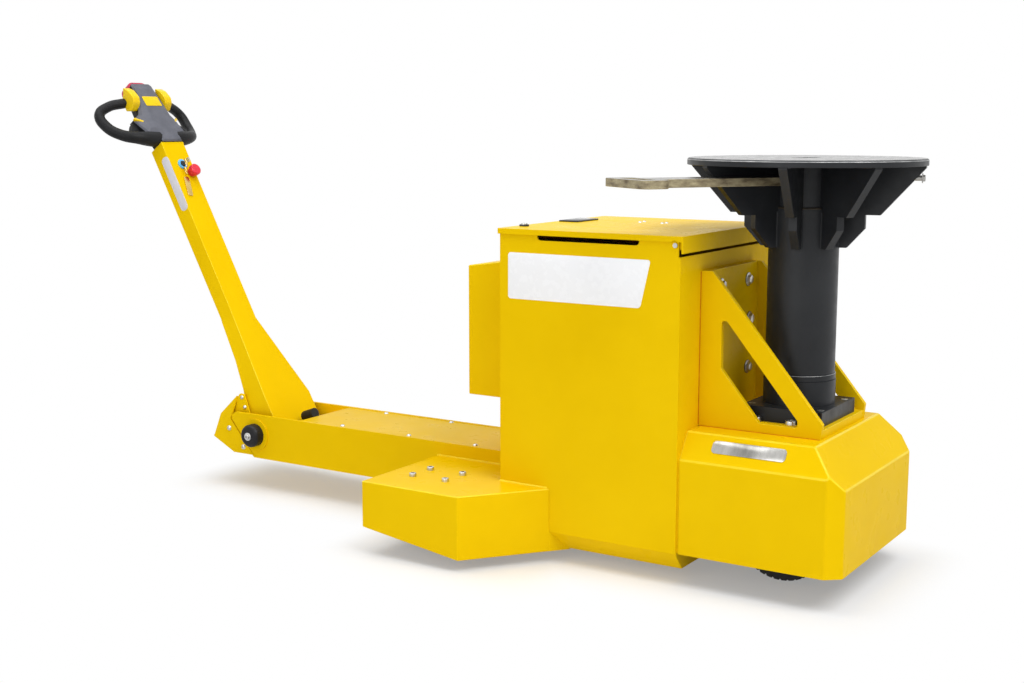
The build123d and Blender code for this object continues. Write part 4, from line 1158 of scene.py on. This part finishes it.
# %% Housing toes and guard plates
toe_line = ((-357, 276.5, 83), (-357, 276.5, 31), (-319, 229, 31), (-324, 235, 36))
inner_line = ((-1636, 205), (-1616, 242), (-1580, 291), (-1562, 290), (-1530, 205))
backing_line = ((-1500, 112), (-1596, 222), (-1616, 204), (-1522, 98))
for side, hand in HANDS:
    outward = Vector((0, side, 0))
    wall = Vector((196, side * -153, 0)).normalized()
    toe = plate([at(x, side * y, z) for x, y, z in toe_line], -wall, thick=7, corner=0.8, rim=0.5)
    put(toe, "housing_toe_" + hand, "chassis", yellow, "yellow_paint")
    inner = plate([at(x, side * 106, z) for x, z in inner_line], outward, thick=5, corner=4, rim=1)
    put(inner, "guard_plate_" + hand, "chassis", yellow, "yellow_paint")
    for number, (x, z) in enumerate(((-1571, 279), (-1560, 249)), 1):
        fasten("dome", f"guard_plate_bolt_{hand}_{number}", at(x, side * 110.8, z), outward, 7)
    backing = plate([at(x, side * 115, z) for x, z in backing_line], outward, thick=4.2, corner=2, rim=0.5)
    put(backing, "guard_seam_strip_" + hand, "chassis", yellow, "yellow_paint")
print(toe.name, inner.name, backing.name)

# %% [markdown]
# The tiller pivots on a shaft whose ends carry fat rubber bumpers. Each is a turned disc with a well
# rounded edge and a dished middle, and a washer and a socket screw hold it. Its outline could be spun
# round an axis, but a drum, one bevel and one inset give the same form.

# %% Pivot bumpers
PIVOT_X = -1500
PIVOT_Z = 173


def dish(piece, rim, depth):
    """Sink the middle of the face that looks up."""
    pick(piece, lambda centre, normal: normal.z > 0.9)
    bpy.ops.mesh.inset(thickness=rim)
    bpy.ops.transform.translate(value=(0, 0, -depth))
    done()


for side, hand in HANDS:
    outward = (0, side, 0)
    disc = drum(64, radius=0.035, depth=0.032, height=0.016)
    soften_top(disc, 0.013, steps=6)
    dish(disc, rim=0.006, depth=0.0015)
    stand(disc, at(PIVOT_X, side * 133, PIVOT_Z), outward)
    put(disc, "pivot_bumper_" + hand, "chassis", finishes["black_rubber"], "black_rubber")
    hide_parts("pivot_knobs")
    ring = drum(40, radius=0.0125, depth=0.004, height=0.002)
    soften_top(ring, 0.0012, steps=3)
    stand(ring, at(PIVOT_X, side * 163.2, PIVOT_Z), outward)
    put(ring, "pivot_washer_" + hand, "chassis", finishes["zinc_steel"], "zinc_steel")
    fasten("socket", "pivot_screw_" + hand, at(PIVOT_X, side * 164.2, PIVOT_Z), outward, 8)
    print(disc.name, ring.name)

# %% [markdown]
# Drive tyres have a block tread. A drum is cut down the middle, each facet of its tread is inset on its own
# and pushed out as a block, and the two end discs are opened into the bore by a bridge.

# %% Drive tyres
def tyre(sides, radius, wide, bore):
    """A plain ring that lies about Z, its outside in flat facets."""
    ring = drum(sides, radius, wide, height=0)
    pick(ring, lambda centre, normal: abs(normal.z) > 0.9)
    bpy.ops.mesh.inset(thickness=(radius - bore) * 0.45)
    bpy.ops.mesh.inset(thickness=(radius - bore) * 0.55)
    bpy.ops.mesh.bridge_edge_loops()
    done()
    return ring


def on_wheels(master, name, wheel, solid, x, y, z, angle):
    """Copies of a tyre on the right and the left wheel. The master goes."""
    for side, hand in HANDS:
        copy = twin(master)
        stand(copy, at(x, side * y, z), (0, 1, 0))
        put(copy, name + hand, wheel + hand, finishes["tyre_rubber"], "tyre_rubber", angle)
        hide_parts(solid + hand)
        print(copy.name, len(copy.data.polygons), "faces")
    bpy.data.objects.remove(master)


tread = tyre(40, radius=0.1185, wide=0.060, bore=0.084)
edit_all(tread)
bpy.ops.mesh.bisect(plane_co=(0, 0, 0), plane_no=(0, 0, 1))
done()
pick(tread, lambda centre, normal: abs(normal.z) < 0.2 and centre.xy.length > 0.11)
bpy.ops.mesh.inset(thickness=0.0028, use_individual=True)
bpy.ops.transform.shrink_fatten(value=0.0062)
done()
apply(tread, "BEVEL", width=0.0008, segments=2, limit_method="ANGLE", angle_limit=radians(30))
on_wheels(tread, "block_tread_", "drive_wheel_", "drive_tyre_", MAST_X, 62, 125, angle=25)

# %% [markdown]
# Caster tyres are smooth solid rubber with two turned grooves and rounded shoulders. Four cuts mark the
# grooves' edges, and the bands between them are pushed in.

# %% Caster tyres
GROOVE_FROM = 0.007
GROOVE_TO = 0.011


def groove(centre, normal):
    """The bands of the tread that become grooves."""
    on_tread = abs(normal.z) < 0.2 and centre.xy.length > 0.07
    return on_tread and GROOVE_FROM < abs(centre.z) < GROOVE_TO


band = tyre(72, radius=0.075, wide=0.046, bore=0.052)
bpy.ops.object.mode_set(mode="EDIT")
for height in (-GROOVE_TO, -GROOVE_FROM, GROOVE_FROM, GROOVE_TO):
    bpy.ops.mesh.select_all(action="SELECT")
    bpy.ops.mesh.bisect(plane_co=(0, 0, height), plane_no=(0, 0, 1))
done()
pick(band, groove)
bpy.ops.mesh.inset(thickness=0.0006)
bpy.ops.transform.shrink_fatten(value=-0.003)
done()
apply(band, "BEVEL", width=0.004, segments=3, limit_method="ANGLE", angle_limit=radians(60))
on_wheels(band, "grooved_tyre_", "caster_wheel_", "caster_tyre_", -722, SWIVEL_Y, 75, angle=38)

# %% [markdown]
# The charge display in the lid has a smoked pane, and the lid's lock a plug with a slot for its key. The
# pane is one more plate, and the slot is cut from a small drum.

# %% Display pane and lid lock
pane_middle = at(-472, 66, 860.6)
pane_line = ((-23, -50), (23, -50), (23, 50), (-23, 50))
spots = [pane_middle + Vector((x, y, 0)) / 1000 for x, y in pane_line]
pane = plate(spots, Vector(UP), thick=0.9, corner=4, rim=0.3)
put(pane, "display_pane", "lid", display_glass)
plug = drum(40, radius=0.0085, depth=0.003, height=0.0015)
soften_top(plug, 0.0007, steps=2)
bpy.ops.object.select_all(action="DESELECT")
bpy.ops.mesh.primitive_cube_add(size=1, location=(0, 0, 0.003), scale=(0.009, 0.002, 0.004))
cut(plug, bpy.context.object)
stand(plug, at(-488, -190, 861.8), UP)
put(plug, "lock_plug", "lid", finishes["zinc_steel"], "zinc_steel")
print(pane.name, plug.name)

# %% [markdown]
# The key switch on the arm has a bright dished collar, and its key is in it. The key is a small pierced
# disc with its blade drawn out of the rim by an extrusion.

# %% Key switch and key
KEY_UP = 549
KEY_Y = 2
collar = drum(48, radius=0.0165, depth=0.0055, height=0.00275)
soften_top(collar, 0.0016, steps=3)
dish(collar, rim=0.006, depth=0.0012)
stand(collar, on_arm(KEY_UP, KEY_Y, 0), ARM_OUT, ARM_UP)
put(collar, "key_collar", "tiller", key_blue)
bow = drum(24, radius=0.0085, depth=0.0024, height=0)
cut(bow, drum(16, radius=0.0028, depth=0.01, height=0))
pick(bow, lambda centre, normal: normal.y < -0.97)
bpy.ops.mesh.extrude_region_move(TRANSFORM_OT_translate={"value": (0, -0.012, 0)})
done()
apply(bow, "BEVEL", width=0.0004, segments=2, limit_method="ANGLE", angle_limit=radians(40))
stand(bow, on_arm(KEY_UP, KEY_Y, 31), Vector((0, 1, 0)), ARM_OUT)
put(bow, "switch_key", "tiller", finishes["zinc_steel"], "zinc_steel")
print(collar.name, bow.name)

# %% [markdown]
# Two split rings hang in the key, and a brass fob on them lies against the arm. A ring is a torus that is
# drawn a little oval and thicker along its axis, as two turns of wire are.

# %% Split rings and fob
HALF_FOB = 0.010
for name, up, y, out, radius, tilt in (
    ("split_ring_upper", 541, -6, 27, 0.013, 30), ("split_ring_lower", 521, -4, 11, 0.012, -18)
):
    bpy.ops.object.select_all(action="DESELECT")
    bpy.ops.mesh.primitive_torus_add(
        major_segments=48, minor_segments=8, major_radius=radius, minor_radius=0.0011)
    ring = bpy.context.object
    edit_all(ring)
    bpy.ops.transform.resize(value=(0.9, 1.08, 1.3))
    done()
    lean = Matrix.Rotation(radians(tilt), 3, "Y")
    stand(ring, on_arm(up, y, out), (lean @ Vector((0, 0.8, 0))) + ARM_OUT * 0.6, ARM_UP)
    put(ring, name, "tiller", brass)
fob_low, fob_top = on_arm(437, -18, 1.2), on_arm(503, -4, 1.2)
fob_half = (fob_top - fob_low).cross(ARM_OUT).normalized() * HALF_FOB
spots = along(fob_low, fob_top, fob_half)
if (spots[1] - spots[0]).cross(spots[2] - spots[1]).dot(ARM_OUT) < 0:
    spots.reverse()
fob = plate(spots, ARM_OUT, thick=2.2, corner=4, rim=0.8)
put(fob, "key_fob", "tiller", brass)
print(ring.name, fob.name)

# %% [markdown]
# A plate with six screws closes the control box behind the cabinet, so that a fitter can get at what is
# in it. It is a plate like the others, and its screws stand in two columns.

# %% Rear cover plate
BACK = Vector((-1, 0, 0))
cover_line = ((168, 432), (-168, 432), (-168, 716), (168, 716))
cover = plate([at(-656.8, y, z) for y, z in cover_line], BACK, thick=2.5, corner=12, rim=0.8)
put(cover, "box_cover", "chassis", yellow, "yellow_paint")
cover_screws = [(y, z) for y in (-152, 152) for z in (448, 574, 700)]
for number, (y, z) in enumerate(cover_screws, 1):
    fasten("dome", f"box_cover_screw_{number}", at(-659.1, y, z), BACK, 6)
print(cover.name, len(cover_screws), "screws")

# %% [markdown]
# A lug under the lock bar stops it against the king-pin housing. It is a small block whose lower end is
# drawn in to a wedge.

# %% Bar stop lug
bar_turn = radians(HEAD_TURN + 180)
bar_way = Vector((cos(bar_turn), sin(bar_turn), 0))
bpy.ops.object.select_all(action="DESELECT")
bpy.ops.mesh.primitive_cube_add(size=1, location=(0, 0, 0.011), scale=(0.012, 0.018, 0.022))
lug = bpy.context.object
settle(lug)
pick(lug, lambda centre, normal: normal.z > 0.9)
bpy.ops.transform.resize(value=(0.5, 0.6, 1.0), center_override=(0, 0, 0.022))
done()
apply(lug, "BEVEL", width=0.001, segments=2, limit_method="ANGLE", angle_limit=radians(30))
stand(lug, at(MAST_X, 0, 974) + bar_way * 0.134, DOWN, bar_way)
put(lug, "bar_stop_lug", "lock", cut_edge)
print(lug.name)

# %% [markdown]
# The screw masters have done their work and go.

# %% Screw masters go
for master in masters.values():
    bpy.data.objects.remove(master)
